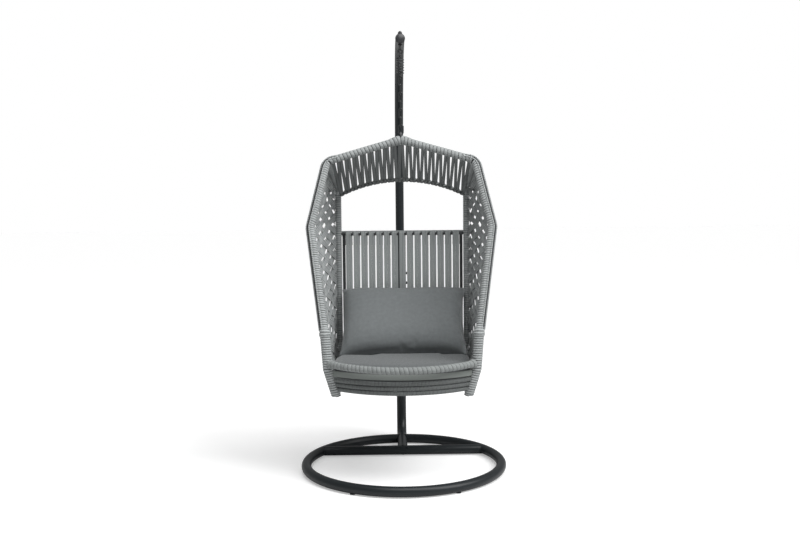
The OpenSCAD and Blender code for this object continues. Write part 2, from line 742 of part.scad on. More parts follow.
module upright_wrap() {
    color(rope) difference() {
        bent_tube(upright_run(wrap_d / 2 + gap), [0, upright_bend_r, 0], wrap_d, wrap_t);
        along(seat_back, seat_front) cylinder(h = wrap_d, d = crossing_d);
        translate(seat_back) rotate([0, -90, 0]) cylinder(h = wrap_d, d = crossing_d);
        translate([upright_w / 2, upright_y, back_rail_h]) rotate([0, -90, 0]) cylinder(h = wrap_d, d = rail_bore_d);
        arch_arc() circle(d = rail_bore_d);
    }
}

module upright_left() at_chair() mirror([1, 0, 0]) upright();
module upright_right() at_chair() upright();
module upright_wrap_left() at_chair() mirror([1, 0, 0]) upright_wrap();
module upright_wrap_right() at_chair() upright_wrap();

module upright_cores(d) {
    both_sides() translate([upright_w / 2, upright_y, foot_h - 1])
        cylinder(h = upright_bend_h - foot_h - upright_bend_r, d = d);
}

arch_end = [upright_w / 2, upright_y, arch_end_h];
arch_mid = [0, arch_y, arch_h];
module arch_arc() bowed(arch_end, arch_mid) children();

module hood_arch() {
    color(bare_tube) at_chair() difference() {
        arch_arc() tube_section(rail_d, tube_wall);
        both_sides() translate([upright_w / 2, upright_y, arch_end_h - 3 * rail_d]) cylinder(h = 6 * rail_d, d = core_d);
    }
}

module cross_rail(h, d) {
    difference() {
        translate([-upright_w / 2, upright_y, h]) rotate([0, 90, 0]) pipe(upright_w, d, tube_wall);
        upright_cores(core_d);
    }
}
module back_rail() color(bare_tube) at_chair() cross_rail(back_rail_h, rail_d);
module seat_rear_rail() color(bare_tube) at_chair() cross_rail(seat_rail_h, tube_d);

seat_reach = norm(seat_back - seat_front);
module seat_side_rails() {
    color(bare_tube) at_chair() difference() {
        both_sides() along(seat_front, seat_back) pipe(seat_reach - tube_d / 2 - 3 * gap, tube_d, tube_wall);
        rim_side(core_d);
    }
}

module seat_side_wraps() {
    color(rope) at_chair() difference() {
        both_sides() along(seat_front, seat_back) pipe(seat_reach - wrap_d / 2 - gap, wrap_d, wrap_t);
        rim_side(wrap_d + 2 * gap);
    }
}

// ---- Straps ----
// Loop of a strap, w wide along Z, round a tube of radius r
module loop(r, w) {
    difference() {
        cylinder(h = w, r = r + strap_t, center = true);
        cylinder(h = w + 2, r = r, center = true);
    }
}

// Flat strap from a to b, its width along side
module strap(a, b, w, side = [1, 0, 0]) {
    along(a, b, side) translate([-w / 2, -web_t / 2, 0]) cube([w, web_t, norm(b - a)]);
}

module back_straps() {
    pair_w = 2 * rope_w + 1;
    low_r = tube_d / 2 + gap;
    color(rope) at_chair() for (i = [0:back_count - 1]) {
        x = (i - (back_count - 1) / 2) * back_pitch;
        translate([x, upright_y, back_rail_h]) rotate([0, 90, 0]) loop(loop_r, pair_w + 0.4);
        translate([x, upright_y, seat_rail_h]) rotate([0, 90, 0]) loop(low_r, pair_w + 0.4);
        for (side = [-1, 1]) strap([x + side * (rope_w + 1) / 2, upright_y - low_r - strap_t / 2, seat_rail_h],
            [x + side * (rope_w + 1) / 2, upright_y - loop_r - strap_t / 2, back_rail_h], rope_w);
    }
}

module seat_straps() {
    span = 0.83 * (seat_back[1] - seat_front[1]);
    color(rope) at_chair() for (i = [0:deck_count - 1]) {
        y = (seat_front[1] + seat_back[1]) / 2 + (i / (deck_count - 1) - 0.5) * span;
        p = seat_front + (seat_back - seat_front) * (y - seat_front[1]) / (seat_back[1] - seat_front[1]);
        both_sides() along(p, seat_back) loop(wrap_d / 2 + gap, deck_w);
        strap([-p[0], y, deck_z + strap_t / 2], [p[0], y, deck_z + strap_t / 2], deck_w - 1, [0, 1, 0]);
    }
}

// Point of the arch's or rim's axis at x
function on_bow(end, mid, x) = let (rise = [0, mid[1] - end[1], mid[2] - end[2]], s = norm(rise),
    r = (end[0] * end[0] + s * s) / (2 * s), up = unit(rise))
    [0, mid[1], mid[2]] - up * r + [x, 0, 0] + up * sqrt(r * r - x * x);
function on_top(x) = apex + (corner - apex) * abs(x) / corner[0] + [x - abs(x), 0, 0];

module hood_lacing() {
    half = lace_w / 2 + 0.3;
    color(rope) at_chair() difference() {
        for (i = [0:lace_count - 1]) {
            x = (i - (lace_count - 1) / 2) * lace_pitch;
            along(on_bow(arch_end, arch_mid, x), on_bow(arch_end, arch_mid, x + 1), [0, 0, 1])
                cylinder(h = 2 * lace_w + 1, r = loop_r + strap_t, center = true);
            for (side = [-1, 1]) {
                a = on_bow(arch_end, arch_mid, x + side * half);
                b = on_top(x + side * (lace_pitch / 2 - half));
                strap(shorten(b, a, loop_r + 0.3), shorten(a, b, wrap_d / 2 + 4 * gap), lace_w);
            }
        }
        arch_arc() circle(r = loop_r);
    }
}

// ---- Side nets ----
function rim_at(z) = z > widest_h ? on_line(corner, widest, z) : z > knuckle_h ? on_line(widest, knuckle, z) :
    z > elbow_h ? on_line(knuckle, elbow, z) : on_line(elbow, foot, z);
function mix(a, b, t) = a + (b - a) * t;
net_top_rim = corner_h - 24;
net_top_back = upright_bend_h - 46;
net_inset = wrap_d / 2 + 2 * gap;
function net_point(u, v) = let (a = rim_at(mix(net_low_h, net_top_rim, v)),
    b = [upright_w / 2, upright_y, mix(net_low_h, net_top_back, v)], d = unit(b - a) * net_inset)
    mix(a + d, b - d * net_inset / norm([d[0], d[1]]), u);
function net_side(u, v, side) = let (e = 0.01) net_point(u, v) + side * net_t / 2 *
    unit(cross(net_point(u + e, v) - net_point(u - e, v), net_point(u, v + e) - net_point(u, v - e)));

// Net of upright diamond holes: whole cells in the even columns, shifted by half a cell in the odd ones
module side_net() {
    steps = 2 * net_rows;
    hole_w = 0.27;
    hole_h = 0.64;
    cells = [for (c = [0:net_cols - 1], k = [1 + c % 2:2:steps - 1]) [c, k]];
    corners = [for (c = [0:net_cols], k = [0:steps]) [c, k]];
    holes = [for (q = cells) each [[q[0] + 0.5, q[1] - hole_h], [q[0] + 0.5 + hole_w, q[1]],
        [q[0] + 0.5, q[1] + hole_h], [q[0] + 0.5 - hole_w, q[1]]]];
    flat = concat(corners, holes);
    n = len(flat);
    at = function (c, k) c * (steps + 1) + k;
    top = concat(
        [for (j = [0:len(cells) - 1]) let (c = cells[j][0], k = cells[j][1], h = len(corners) + 4 * j,
            a = at(c, k - 1), b = at(c + 1, k - 1), d = at(c + 1, k), e = at(c + 1, k + 1), f = at(c, k + 1),
            g = at(c, k)) each [[a, b, h], [b, h + 1, h], [b, d, h + 1], [d, e, h + 1], [e, h + 2, h + 1],
            [e, f, h + 2], [f, h + 3, h + 2], [f, g, h + 3], [g, a, h + 3], [a, h, h + 3]]],
        [for (c = [1:2:net_cols - 1], k = [0, steps - 1]) each [[at(c, k), at(c + 1, k), at(c + 1, k + 1)],
            [at(c, k), at(c + 1, k + 1), at(c, k + 1)]]]);
    rims = concat(
        [for (c = [0:net_cols - 1]) each [[at(c, 0), at(c + 1, 0)], [at(c + 1, steps), at(c, steps)]]],
        [for (k = [0:steps - 1]) each [[at(net_cols, k), at(net_cols, k + 1)], [at(0, k + 1), at(0, k)]]],
        [for (j = [0:len(cells) - 1], i = [0:3]) let (h = len(corners) + 4 * j) [h + (i + 1) % 4, h + i]]);
    faces = concat(top, [for (t = top) [t[0] + n, t[2] + n, t[1] + n]],
        [for (r = rims) each [[r[1], r[0], r[0] + n], [r[1], r[0] + n, r[1] + n]]]);
    points = [for (side = [1, -1], p = flat) net_side(p[0] / net_cols, p[1] / steps, side)];
    color(rope) polyhedron(points, [for (t = faces) [t[0], t[2], t[1]]], convexity = 10);
}
module side_net_left() at_chair() mirror([1, 0, 0]) side_net();
module side_net_right() at_chair() side_net();

// ---- Cushions ----
// Closed solid between a top and a bottom grid of (nu + 1) by (nv + 1) points, each row running along +u
module padded(top, bottom, nu, nv) {
    n = len(top);
    quads = [for (j = [0:nv - 1], i = [0:nu - 1]) let (a = j * (nu + 1) + i) [a, a + 1, a + nu + 2, a + nu + 1]];
    up = [for (q = quads) each [[q[0], q[1], q[2]], [q[0], q[2], q[3]]]];
    edge = concat([for (i = [0:nu - 1]) [i, i + 1]], [for (j = [0:nv - 1]) [j, j + 1] * (nu + 1) + [nu, nu]],
        [for (i = [nu:-1:1]) [i, i - 1] + [1, 1] * nv * (nu + 1)], [for (j = [nv:-1:1]) [j, j - 1] * (nu + 1)]);
    faces = concat(up, [for (t = up) [t[0] + n, t[2] + n, t[1] + n]],
        [for (e = edge) each [[e[1], e[0], e[0] + n], [e[1], e[0] + n, e[1] + n]]]);
    polyhedron(concat(top, bottom), [for (t = faces) [t[0], t[2], t[1]]], convexity = 4);
}

cushion_low_z = deck_z + strap_t + gap;
cushion_side_z = cushion_low_z + cushion_side;
cushion_draft = 0.92;                       // width of the cushion's underside against its seam
apron_end = on_line(elbow, foot, bar_top_h - bar_pitch);
apron_r = (apron_end[0] * apron_end[0] + bar_bow * bar_bow) / (2 * bar_bow);
cushion_front_r = apron_r - bar_wrap_d / 2 - 4;
function cushion_front(x) = apron_end[1] - bar_bow + apron_r - sqrt(pow(cushion_front_r, 2) - x * x);
function crown(u, v) = pow(max(0, 1 - pow(u, 4)) * max(0, 1 - pow(v, 4)), 0.5);
function cushion_z(u, v) = cushion_side_z + (cushion_top_h - cushion_side_z) * crown(u, v);
function cushion_point(u, v, low) = let (x = cushion_w / 2 * u * (1 - 0.05 * pow(v, 8) - 0.015 * (1 - v * v)),
    y = mix(cushion_front(x), cushion_back_y, (v + 1) / 2))
    [x * (low ? cushion_draft : 1), y, low ? cushion_low_z : cushion_z(u, v)];

module seat_cushion() {
    nu = 18;
    nv = 14;
    color(cloth) at_chair() padded([for (j = [0:nv], i = [0:nu]) cushion_point(2 * i / nu - 1, 2 * j / nv - 1, false)],
        [for (j = [0:nv], i = [0:nu]) cushion_point(2 * i / nu - 1, 2 * j / nv - 1, true)], nu, nv);
}

pillow_seam = 5;                            // half thickness of the pillow at its seam
function pillow_point(u, v, side) = let (
    x = pillow_w / 2 * u * (1 - 0.045 * (1 - v * v)), a = pillow_h / 2 * v * (1 - 0.05 * (1 - u * u)),
    b = side * (pillow_seam + (pillow_t / 2 - pillow_seam) * pow(max(0, 1 - pow(u, 4)) * max(0, 1 - pow(v, 4)), 0.6)))
    [x, a * sin(pillow_lean) - b * cos(pillow_lean), a * cos(pillow_lean) + b * sin(pillow_lean)];
pillow_nu = 18;
pillow_nv = 12;
function pillow_grid(side) = [for (j = [0:pillow_nv], i = [0:pillow_nu])
    pillow_point(2 * i / pillow_nu - 1, 2 * j / pillow_nv - 1, side)];
pillow_all = concat(pillow_grid(1), pillow_grid(-1));
// The pillow leans on the back straps and rests on the seat cushion's crown
pillow_y = upright_y - tube_d / 2 - 2 * gap - strap_t - max([for (p = pillow_all) p[1]]);
function crown_below(x, y) = let (v = 2 * (y - cushion_front(x)) / (cushion_back_y - cushion_front(x)) - 1)
    cushion_z(min(1, abs(2 * x / cushion_w)), max(-1, min(1, v)));
pillow_z = max([for (p = pillow_all) abs(p[0]) < cushion_w / 2 ? crown_below(p[0], p[1] + pillow_y) - p[2] : 0]) + gap;

module pillow() {
    color(cloth) at_chair() translate([0, pillow_y, pillow_z]) padded(pillow_grid(1), pillow_grid(-1), pillow_nu, pillow_nv);
}

base_ring();
cross_bar();
lower_post();
upper_post();
post_bolts();
post_nuts();
arm_end_cap();
floor_glides();
swivel_bushes();
eye_bolt();
dome_nut();
nut_washer();
top_link();
spring();
chain();
snap_hook();
snap_gate();
gate_pin();
hanging_eye();
rim_tube();
rim_wrap();
edge_cord();
upright_left();
upright_right();
upright_wrap_left();
upright_wrap_right();
hood_arch();
back_rail();
seat_side_rails();
seat_side_wraps();
seat_rear_rail();
front_rail();
front_rail_wrap();
front_band();
apron_bars();
apron_wraps();
side_net_left();
side_net_right();
hood_lacing();
back_straps();
seat_straps();
seat_cushion();
pillow();
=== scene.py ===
import json
import math

import bpy
from mathutils import Matrix, Vector


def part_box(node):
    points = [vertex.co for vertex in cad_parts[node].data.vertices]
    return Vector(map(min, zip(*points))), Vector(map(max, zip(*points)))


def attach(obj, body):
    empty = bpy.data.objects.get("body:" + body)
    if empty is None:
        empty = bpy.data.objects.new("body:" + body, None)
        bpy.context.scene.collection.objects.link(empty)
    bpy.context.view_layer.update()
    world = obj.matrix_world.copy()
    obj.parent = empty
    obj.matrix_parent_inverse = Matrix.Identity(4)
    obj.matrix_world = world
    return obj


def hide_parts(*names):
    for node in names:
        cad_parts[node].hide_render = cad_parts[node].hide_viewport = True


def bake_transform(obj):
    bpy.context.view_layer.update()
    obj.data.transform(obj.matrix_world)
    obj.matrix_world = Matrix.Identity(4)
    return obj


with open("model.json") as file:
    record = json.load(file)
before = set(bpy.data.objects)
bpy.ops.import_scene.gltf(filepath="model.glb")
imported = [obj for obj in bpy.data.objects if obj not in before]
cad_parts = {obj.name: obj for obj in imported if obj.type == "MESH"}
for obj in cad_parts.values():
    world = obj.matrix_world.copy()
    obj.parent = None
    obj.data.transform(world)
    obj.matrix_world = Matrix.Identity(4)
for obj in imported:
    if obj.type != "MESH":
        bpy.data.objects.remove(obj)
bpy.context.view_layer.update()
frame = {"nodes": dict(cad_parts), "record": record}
scene = bpy.context.scene

# The chair hangs from the hook's axis and is turned a little about it
hookY = -0.064575
chairTurn = math.radians(-1.6)
toHook = Matrix.Translation((0, hookY, 0))
toChair = toHook @ Matrix.Rotation(chairTurn, 4, "Z")
mirror = Matrix.Scale(-1, 4, (1, 0, 0))

# Corners of the chair's frame, right half, before the turn
apex = Vector((0, 0, 1.522))
corner = Vector((0.334, -0.046, 1.425))
widest = Vector((0.403, -0.129, 1.131))
knuckle = Vector((0.3355, -0.280, 0.681))
elbow = Vector((0.323, -0.290, 0.521))
foot = Vector((0.278, -0.284, 0.400))
rimRadii = [0.060, 0.045, 0.060, 0.060, 0.040]  # at the apex, corner, widest, knuckle and elbow
backX, backY = 0.310, 0.268                     # place of the uprights
uprightFoot = Vector((backX, backY, 0.400))
uprightBend = Vector((backX, backY, 1.306))
archEnd, archMid = Vector((backX, backY, 1.268)), Vector((0, 0.218, 1.344))
seatH, railH = 0.419, 1.084                     # heights of the seat rails and the back rail
wrapR = 0.015                                   # outside of the rope on the thick tubes
loopR = 0.0083                                  # inside of a loop on the back rail or the hood arch

# Camera
imageWidth, focalPixels, sensor = 800, 981.7, 36
camera = {"lens": focalPixels * sensor / imageWidth, "place": (-0.0755, -4.5012 + hookY, 1.2807),
          "yaw": 0.840, "pitch": -4.290, "roll": -0.530}


def addCamera(s):
    yaw, pitch, roll = (math.radians(s[k]) for k in ("yaw", "pitch", "roll"))
    forward = Vector((math.sin(yaw) * math.cos(pitch), math.cos(yaw) * math.cos(pitch), math.sin(pitch)))
    right = Vector((math.cos(yaw), -math.sin(yaw), 0))
    up = right.cross(forward)
    rolledRight = math.cos(roll) * right + math.sin(roll) * up
    rolledUp = math.cos(roll) * up - math.sin(roll) * right
    view = Matrix((rolledRight, rolledUp, -forward)).transposed().to_4x4()
    view.translation = s["place"]
    bpy.ops.object.camera_add()
    obj = bpy.context.object
    obj.name = "camera"
    obj.data.sensor_width = sensor
    obj.data.lens = s["lens"]
    obj.matrix_world = view
    scene.camera = obj


# Paths
def unit(v):
    return v / v.length


def flip(p):
    return Vector((-p.x, p.y, p.z))


def onLine(a, b, z):
    return a + (b - a) * ((z - a.z) / (b.z - a.z))


def ramp(rise, length):  # from 0 to 1 over a length, level beyond it
    return min(1, max(0, rise / length))


def hump(distance, reach):  # 1 in the middle, falling to 0 past its reach
    return math.exp(-(distance / reach) ** 4)


def dense(points, step):  # straight runs cut so that no two points are much more than a step apart
    path = [points[0]]
    for q in points[1:]:
        start = path[-1]
        count = max(1, round((q - start).length / step))
        path += [start.lerp(q, k / count) for k in range(1, count + 1)]
    return path


# Straight runs through points, with an arc of radii[i] at each inner one
def roundPath(points, radii, step=0.006):
    path = [points[0]]
    for i in range(1, len(points) - 1):
        before, after = unit(points[i] - points[i - 1]), unit(points[i + 1] - points[i])
        turn = before.angle(after)
        if turn < 1e-4 or radii[i] <= 0:
            path.append(points[i])
            continue
        lead = radii[i] * math.tan(turn / 2)
        inward = unit(after - before * before.dot(after))
        centre = points[i] - before * lead + inward * radii[i]
        count = max(4, round(radii[i] * turn / step))
        for k in range(count + 1):
            t = turn * k / count
            path.append(centre + radii[i] * (before * math.sin(t) - inward * math.cos(t)))
    path.append(points[-1])
    return dense(path, step)


# A bow is an arc from side to side, given by its right end and its middle
def bowArc(end, mid):
    rise = Vector((0, mid.y - end.y, mid.z - end.z))
    return (end.x ** 2 + rise.length ** 2) / (2 * rise.length), unit(rise)


def bowPoint(end, mid, x):
    r, up = bowArc(end, mid)
    return Vector((x, mid.y, mid.z)) - up * r + up * math.sqrt(r * r - x * x)


def bowPath(end, mid, trim, count=160):
    r = bowArc(end, mid)[0]
    half = math.asin(end.x / r) - trim / r
    return [bowPoint(end, mid, r * math.sin(half * (2 * k / count - 1))) for k in range(count + 1)]


def pathLength(path):
    return sum((b - a).length for a, b in zip(path, path[1:]))


# Modelling helpers
def only(obj):  # out of edit mode, with this piece alone selected
    if bpy.context.object and bpy.context.object.mode != "OBJECT":
        bpy.ops.object.mode_set(mode="OBJECT")
    bpy.ops.object.select_all(action="DESELECT")
    obj.select_set(True)
    bpy.context.view_layer.objects.active = obj
    return obj


def edit(obj, test=None):  # edit mode with the vertices chosen that pass the test, or with all
    only(obj)
    bpy.ops.object.mode_set(mode="EDIT")
    bpy.ops.mesh.select_mode(type="VERT")
    bpy.ops.mesh.select_all(action="SELECT" if test is None else "DESELECT")
    if test is not None:
        bpy.ops.object.mode_set(mode="OBJECT")
        for v in obj.data.vertices:
            v.select = bool(test(v.co))
        bpy.ops.object.mode_set(mode="EDIT")


def faceOutward(obj):
    edit(obj)
    bpy.ops.mesh.normals_make_consistent(inside=False)
    only(obj)


def closeEnds(obj):
    edit(obj)
    bpy.ops.mesh.fill_holes(sides=0)
    bpy.ops.mesh.normals_make_consistent(inside=False)
    only(obj)


def applyAll(obj):
    only(obj)
    for name in [m.name for m in obj.modifiers]:
        bpy.ops.object.modifier_apply(modifier=name)


def place(obj, matrix):
    only(obj)
    obj.matrix_world = matrix @ obj.matrix_world
    bpy.ops.object.transform_apply(location=True, rotation=True, scale=True)
    if matrix.determinant() < 0:
        edit(obj)
        bpy.ops.mesh.flip_normals()
        only(obj)


def duplicate(obj, name, matrix):
    only(obj)
    bpy.ops.object.duplicate()
    copy = bpy.context.object
    copy.name = name
    place(copy, matrix)
    return copy


def join(objs, name):
    only(objs[0])
    for o in objs:
        o.select_set(True)
    if len(objs) > 1:
        bpy.ops.object.join()
    obj = bpy.context.object
    obj.name = name
    obj.data.name = name
    return obj


def bothSides(obj, name):
    return join([obj, duplicate(obj, "leftHalf", mirror)], name)


# Copies in a row, each with the next row of the rope's pattern
def repeat(obj, count, offset, merged):
    array = obj.modifiers.new("array", "ARRAY")
    array.count = count
    array.use_relative_offset = False
    array.use_constant_offset = True
    array.constant_offset_displace = offset
    array.use_merge_vertices = merged
    array.merge_threshold = 1e-5
    array.offset_v = 1.0
    applyAll(obj)


def guide(path, twist="Z_UP", flat=False, swell=None, tilt=None):
    data = bpy.data.curves.new("guide", "CURVE")
    data.dimensions = "2D" if flat else "3D"
    data.twist_mode = twist
    spline = data.splines.new("POLY")
    spline.points.add(len(path) - 1)
    for point, p in zip(spline.points, path):
        point.co = (p[0], p[1], 0 if flat else p[2], 1)
        point.radius = swell(p) if swell else 1
    for point, turn in zip(spline.points, tilt or []):
        point.tilt = turn
    data.use_radius = swell is not None
    obj = bpy.data.objects.new("guide", data)
    scene.collection.objects.link(obj)
    return obj


# Bends a piece that lies along +X onto the path, thicker where swell says
def bendAlong(obj, path, twist="Z_UP", flat=False, swell=None, tilt=None):
    curve = guide(path, twist, flat, swell, tilt)
    bend = obj.modifiers.new("bend", "CURVE")
    bend.object = curve
    bend.deform_axis = "POS_X"
    applyAll(obj)
    bpy.data.objects.remove(curve)


def smooth(obj, angle=50):
    only(obj)
    bpy.ops.object.shade_smooth_by_angle(angle=math.radians(angle))


def finishPiece(obj, name, body, material, nodes=(), matrix=toChair):
    obj.name = name
    obj.data.name = name
    place(obj, matrix)
    obj.data.materials.clear()
    obj.data.materials.append(material)
    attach(obj, body)
    if nodes:
        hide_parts(*nodes)
    return obj


# Gives each face corner the place along and across the rope that formula(point, face middle) says
def setUv(obj, formula):
    mesh = obj.data
    layer = mesh.uv_layers[0] if mesh.uv_layers else mesh.uv_layers.new(name="rope")
    layer.name = "rope"
    for face in mesh.polygons:
        for index in face.loop_indices:
            co = mesh.vertices[mesh.loops[index].vertex_index].co
            layer.data[index].uv = formula(co, face.center)


# Rope
plaitLength = 0.006  # of one plait on a strand
ringFill = 1.04      # makes up for the flat sides of a strand's ring
seamEdge = 0.001     # keeps a turn's pattern inside its own row


# One turn of rope round the X axis, from x = 0 to x = pitch, sheared so that copies make a helix
def ropeTurn(s):
    bpy.ops.mesh.primitive_circle_add(vertices=2 * s["across"], radius=1, fill_type="NOTHING")
    turn = bpy.context.object
    edit(turn, lambda co: co.y < -0.01)
    bpy.ops.mesh.delete(type="VERT")
    edit(turn)
    bpy.ops.transform.resize(value=(s["pitch"] / 2, s["height"], 1), center_override=(0, 0, 0))
    bpy.ops.transform.translate(value=(s["pitch"] / 2, s["radius"] - s["height"], 0))
    only(turn)
    screw = turn.modifiers.new("screw", "SCREW")
    screw.axis = "X"
    screw.angle = 2 * math.pi
    screw.screw_offset = s["pitch"]
    screw.steps = screw.render_steps = s["steps"]
    applyAll(turn)
    top = max(turn.data.vertices, key=lambda v: v.co.z).co
    sense = 1 if top.x < s["pitch"] else -1

    def lead(co):
        return math.atan2(sense * co.z, co.y) / (2 * math.pi) % 1

    def ropePlace(co, middle):
        at, near = lead(co), lead(middle)
        at += 1 if near - at > 0.5 else -1 if at - near > 0.5 else 0
        return (at * s["braids"], min(1 - seamEdge, max(seamEdge, co.x / s["pitch"] - at)))
    setUv(turn, ropePlace)
    return turn


def woundRope(s, path, twist="Z_UP", swell=None):  # along a path, closed at both ends
    length = pathLength(path)
    count = max(1, round(length / s["pitch"]) - 1)
    pitch = length / (count + 1)
    turn = ropeTurn({**s, "pitch": pitch})
    repeat(turn, count, (pitch, 0, 0), merged=True)
    bendAlong(turn, path, twist, False, swell)
    closeEnds(turn)
    smooth(turn)
    return turn


# Straight flat rope along +X, its width along Z and its thickness along Y
def strand(width, thick, length, step, sides=8):
    bpy.ops.mesh.primitive_circle_add(vertices=sides, radius=0.5, fill_type="NGON",
                                      rotation=(0, math.pi / 2, 0))
    rope = only(bpy.context.object)
    bpy.ops.object.transform_apply(rotation=True)
    edit(rope)
    bpy.ops.transform.rotate(value=math.pi / sides, orient_axis="X", center_override=(0, 0, 0))
    bpy.ops.transform.resize(value=(1, thick * ringFill, width * ringFill))
    bpy.ops.mesh.extrude_region_move(TRANSFORM_OT_translate={"value": (length, 0, 0)})
    only(rope)
    mesh = rope.data
    cuts = max(1, round(length / step)) - 1
    if cuts > 0:
        bpy.ops.object.mode_set(mode="EDIT")
        bpy.ops.mesh.select_all(action="DESELECT")
        bpy.ops.mesh.select_mode(type="EDGE")
        bpy.ops.object.mode_set(mode="OBJECT")
        for e in mesh.edges:
            a, b = (mesh.vertices[i].co for i in e.vertices)
            e.select = abs(a.x - b.x) > length / 2
        bpy.ops.object.mode_set(mode="EDIT")
        bpy.ops.mesh.subdivide(number_cuts=cuts)
    faceOutward(rope)
    setUv(rope, lambda co, middle: (co.x / plaitLength, 0.5 + co.z / width))
    return rope


# Materials
def newMaterial(name):
    material = bpy.data.materials.new(name)
    material.use_nodes = True
    nodes, links = material.node_tree.nodes, material.node_tree.links
    return material, nodes, links, nodes["Principled BSDF"]


def calculator(nodes, links):  # gives calc(kind, a, b), which adds a math node fed by numbers or sockets
    def calc(kind, a, b=None):
        node = nodes.new("ShaderNodeMath")
        node.operation = kind
        for socket, value in zip(node.inputs, (a, b)):
            if isinstance(value, (int, float)):
                socket.default_value = value
            elif value is not None:
                links.new(value, socket)
        return node.outputs[0]
    return calc


def smoothStep(nodes, links, value, high):
    node = nodes.new("ShaderNodeMapRange")
    node.interpolation_type = "SMOOTHSTEP"
    links.new(value, node.inputs["Value"])
    links.new(high, node.inputs["From Max"])
    return node.outputs["Result"]


def colourFrom(nodes, links, shader, factor, low, high):
    mix = nodes.new("ShaderNodeMix")
    mix.data_type = "RGBA"
    mix.inputs[6].default_value = (*low, 1)  # sockets 6 and 7 take the colours, output 2 gives their mix
    mix.inputs[7].default_value = (*high, 1)
    links.new(factor, mix.inputs[0])
    links.new(mix.outputs[2], shader.inputs["Base Color"])


def bumpFrom(nodes, links, shader, height, strength, distance):
    bump = nodes.new("ShaderNodeBump")
    bump.inputs["Strength"].default_value = strength
    bump.inputs["Distance"].default_value = distance
    links.new(height, bump.inputs["Height"])
    links.new(bump.outputs[0], shader.inputs["Normal"])


def noiseOn(nodes, links, coords, scale, detail):
    noise = nodes.new("ShaderNodeTexNoise")
    noise.inputs["Scale"].default_value = scale
    noise.inputs["Detail"].default_value = detail
    links.new(coords.outputs["Object"], noise.inputs["Vector"])
    return noise.outputs[0]


# Plaited surface of one rope: height for the bump, and a shade between 0 and 1, with painted shade in the
# seams at the rope's edges and deeper painted shade at every n-th of them
def ropeGroup():
    tree = bpy.data.node_groups.new("ropePlait", "ShaderNodeTree")
    tree.interface.new_socket(name="Vector", in_out="INPUT", socket_type="NodeSocketVector")
    for label in ("Seam", "Every"):
        tree.interface.new_socket(name=label, in_out="INPUT", socket_type="NodeSocketFloat")
    for label in ("Height", "Shade"):
        tree.interface.new_socket(name=label, in_out="OUTPUT", socket_type="NodeSocketFloat")
    nodes, links = tree.nodes, tree.links
    into, out = nodes.new("NodeGroupInput"), nodes.new("NodeGroupOutput")
    calc = calculator(nodes, links)
    split = nodes.new("ShaderNodeSeparateXYZ")
    links.new(into.outputs["Vector"], split.inputs[0])
    along, row = split.outputs[0], split.outputs[1]
    side = calc("ABSOLUTE", calc("SUBTRACT", calc("FRACT", row), 0.5))
    ridge = calc("PINGPONG", calc("ADD", along, calc("MULTIPLY", side, 1.6)), 0.5)
    seam = smoothStep(nodes, links, calc("SUBTRACT", 0.5, side), into.outputs["Seam"])
    group = calc("FRACT", calc("DIVIDE", row, into.outputs["Every"]))
    inner = calc("SUBTRACT", 0.5, calc("ABSOLUTE", calc("SUBTRACT", group, 0.5)))
    band = smoothStep(nodes, links, calc("MULTIPLY", inner, into.outputs["Every"]), into.outputs["Seam"])
    noise = nodes.new("ShaderNodeTexWhiteNoise")
    noise.noise_dimensions = "1D"
    links.new(calc("FLOOR", row), noise.inputs["W"])
    tone = calc("ADD", 0.9, calc("MULTIPLY", noise.outputs["Value"], 0.16))
    grain = calc("ADD", 0.88, calc("MULTIPLY", ridge, 0.3))
    # painted shade in the seams between turns, deeper at every n-th seam
    seamShade = calc("MULTIPLY", calc("ADD", 0.35, calc("MULTIPLY", seam, 0.65)),
                 calc("ADD", 0.45, calc("MULTIPLY", band, 0.55)))
    links.new(calc("MULTIPLY", ridge, 2.0), out.inputs["Height"])
    links.new(calc("MULTIPLY", calc("MULTIPLY", tone, grain), seamShade), out.inputs["Shade"])
    return tree


def ropeMaterial(name, s):
    material, nodes, links, shader = newMaterial(name)
    uv = nodes.new("ShaderNodeUVMap")
    uv.uv_map = "rope"
    plait = nodes.new("ShaderNodeGroup")
    plait.node_tree = plaitTree
    links.new(uv.outputs[0], plait.inputs["Vector"])
    plait.inputs["Seam"].default_value = s["seam"]
    plait.inputs["Every"].default_value = s.get("every", 3)
    colourFrom(nodes, links, shader, plait.outputs["Shade"], s["dark"], s["light"])
    bumpFrom(nodes, links, shader, plait.outputs["Height"], 0.35, 0.0006)
    shader.inputs["Roughness"].default_value = 0.82
    shader.inputs["Sheen Weight"].default_value = 0.12
    return material


def coatMaterial(name, s):
    material, nodes, links, shader = newMaterial(name)
    grain = noiseOn(nodes, links, nodes.new("ShaderNodeTexCoord"), s["grain"], 3)
    colourFrom(nodes, links, shader, grain, [c * 0.86 for c in s["colour"]], [c * 1.14 for c in s["colour"]])
    bumpFrom(nodes, links, shader, grain, s["bump"], 0.0004)
    shader.inputs["Roughness"].default_value = s["rough"]
    shader.inputs["Specular IOR Level"].default_value = s.get("gloss", 0.5)
    shader.inputs["Metallic"].default_value = s.get("metal", 0.0)
    return material


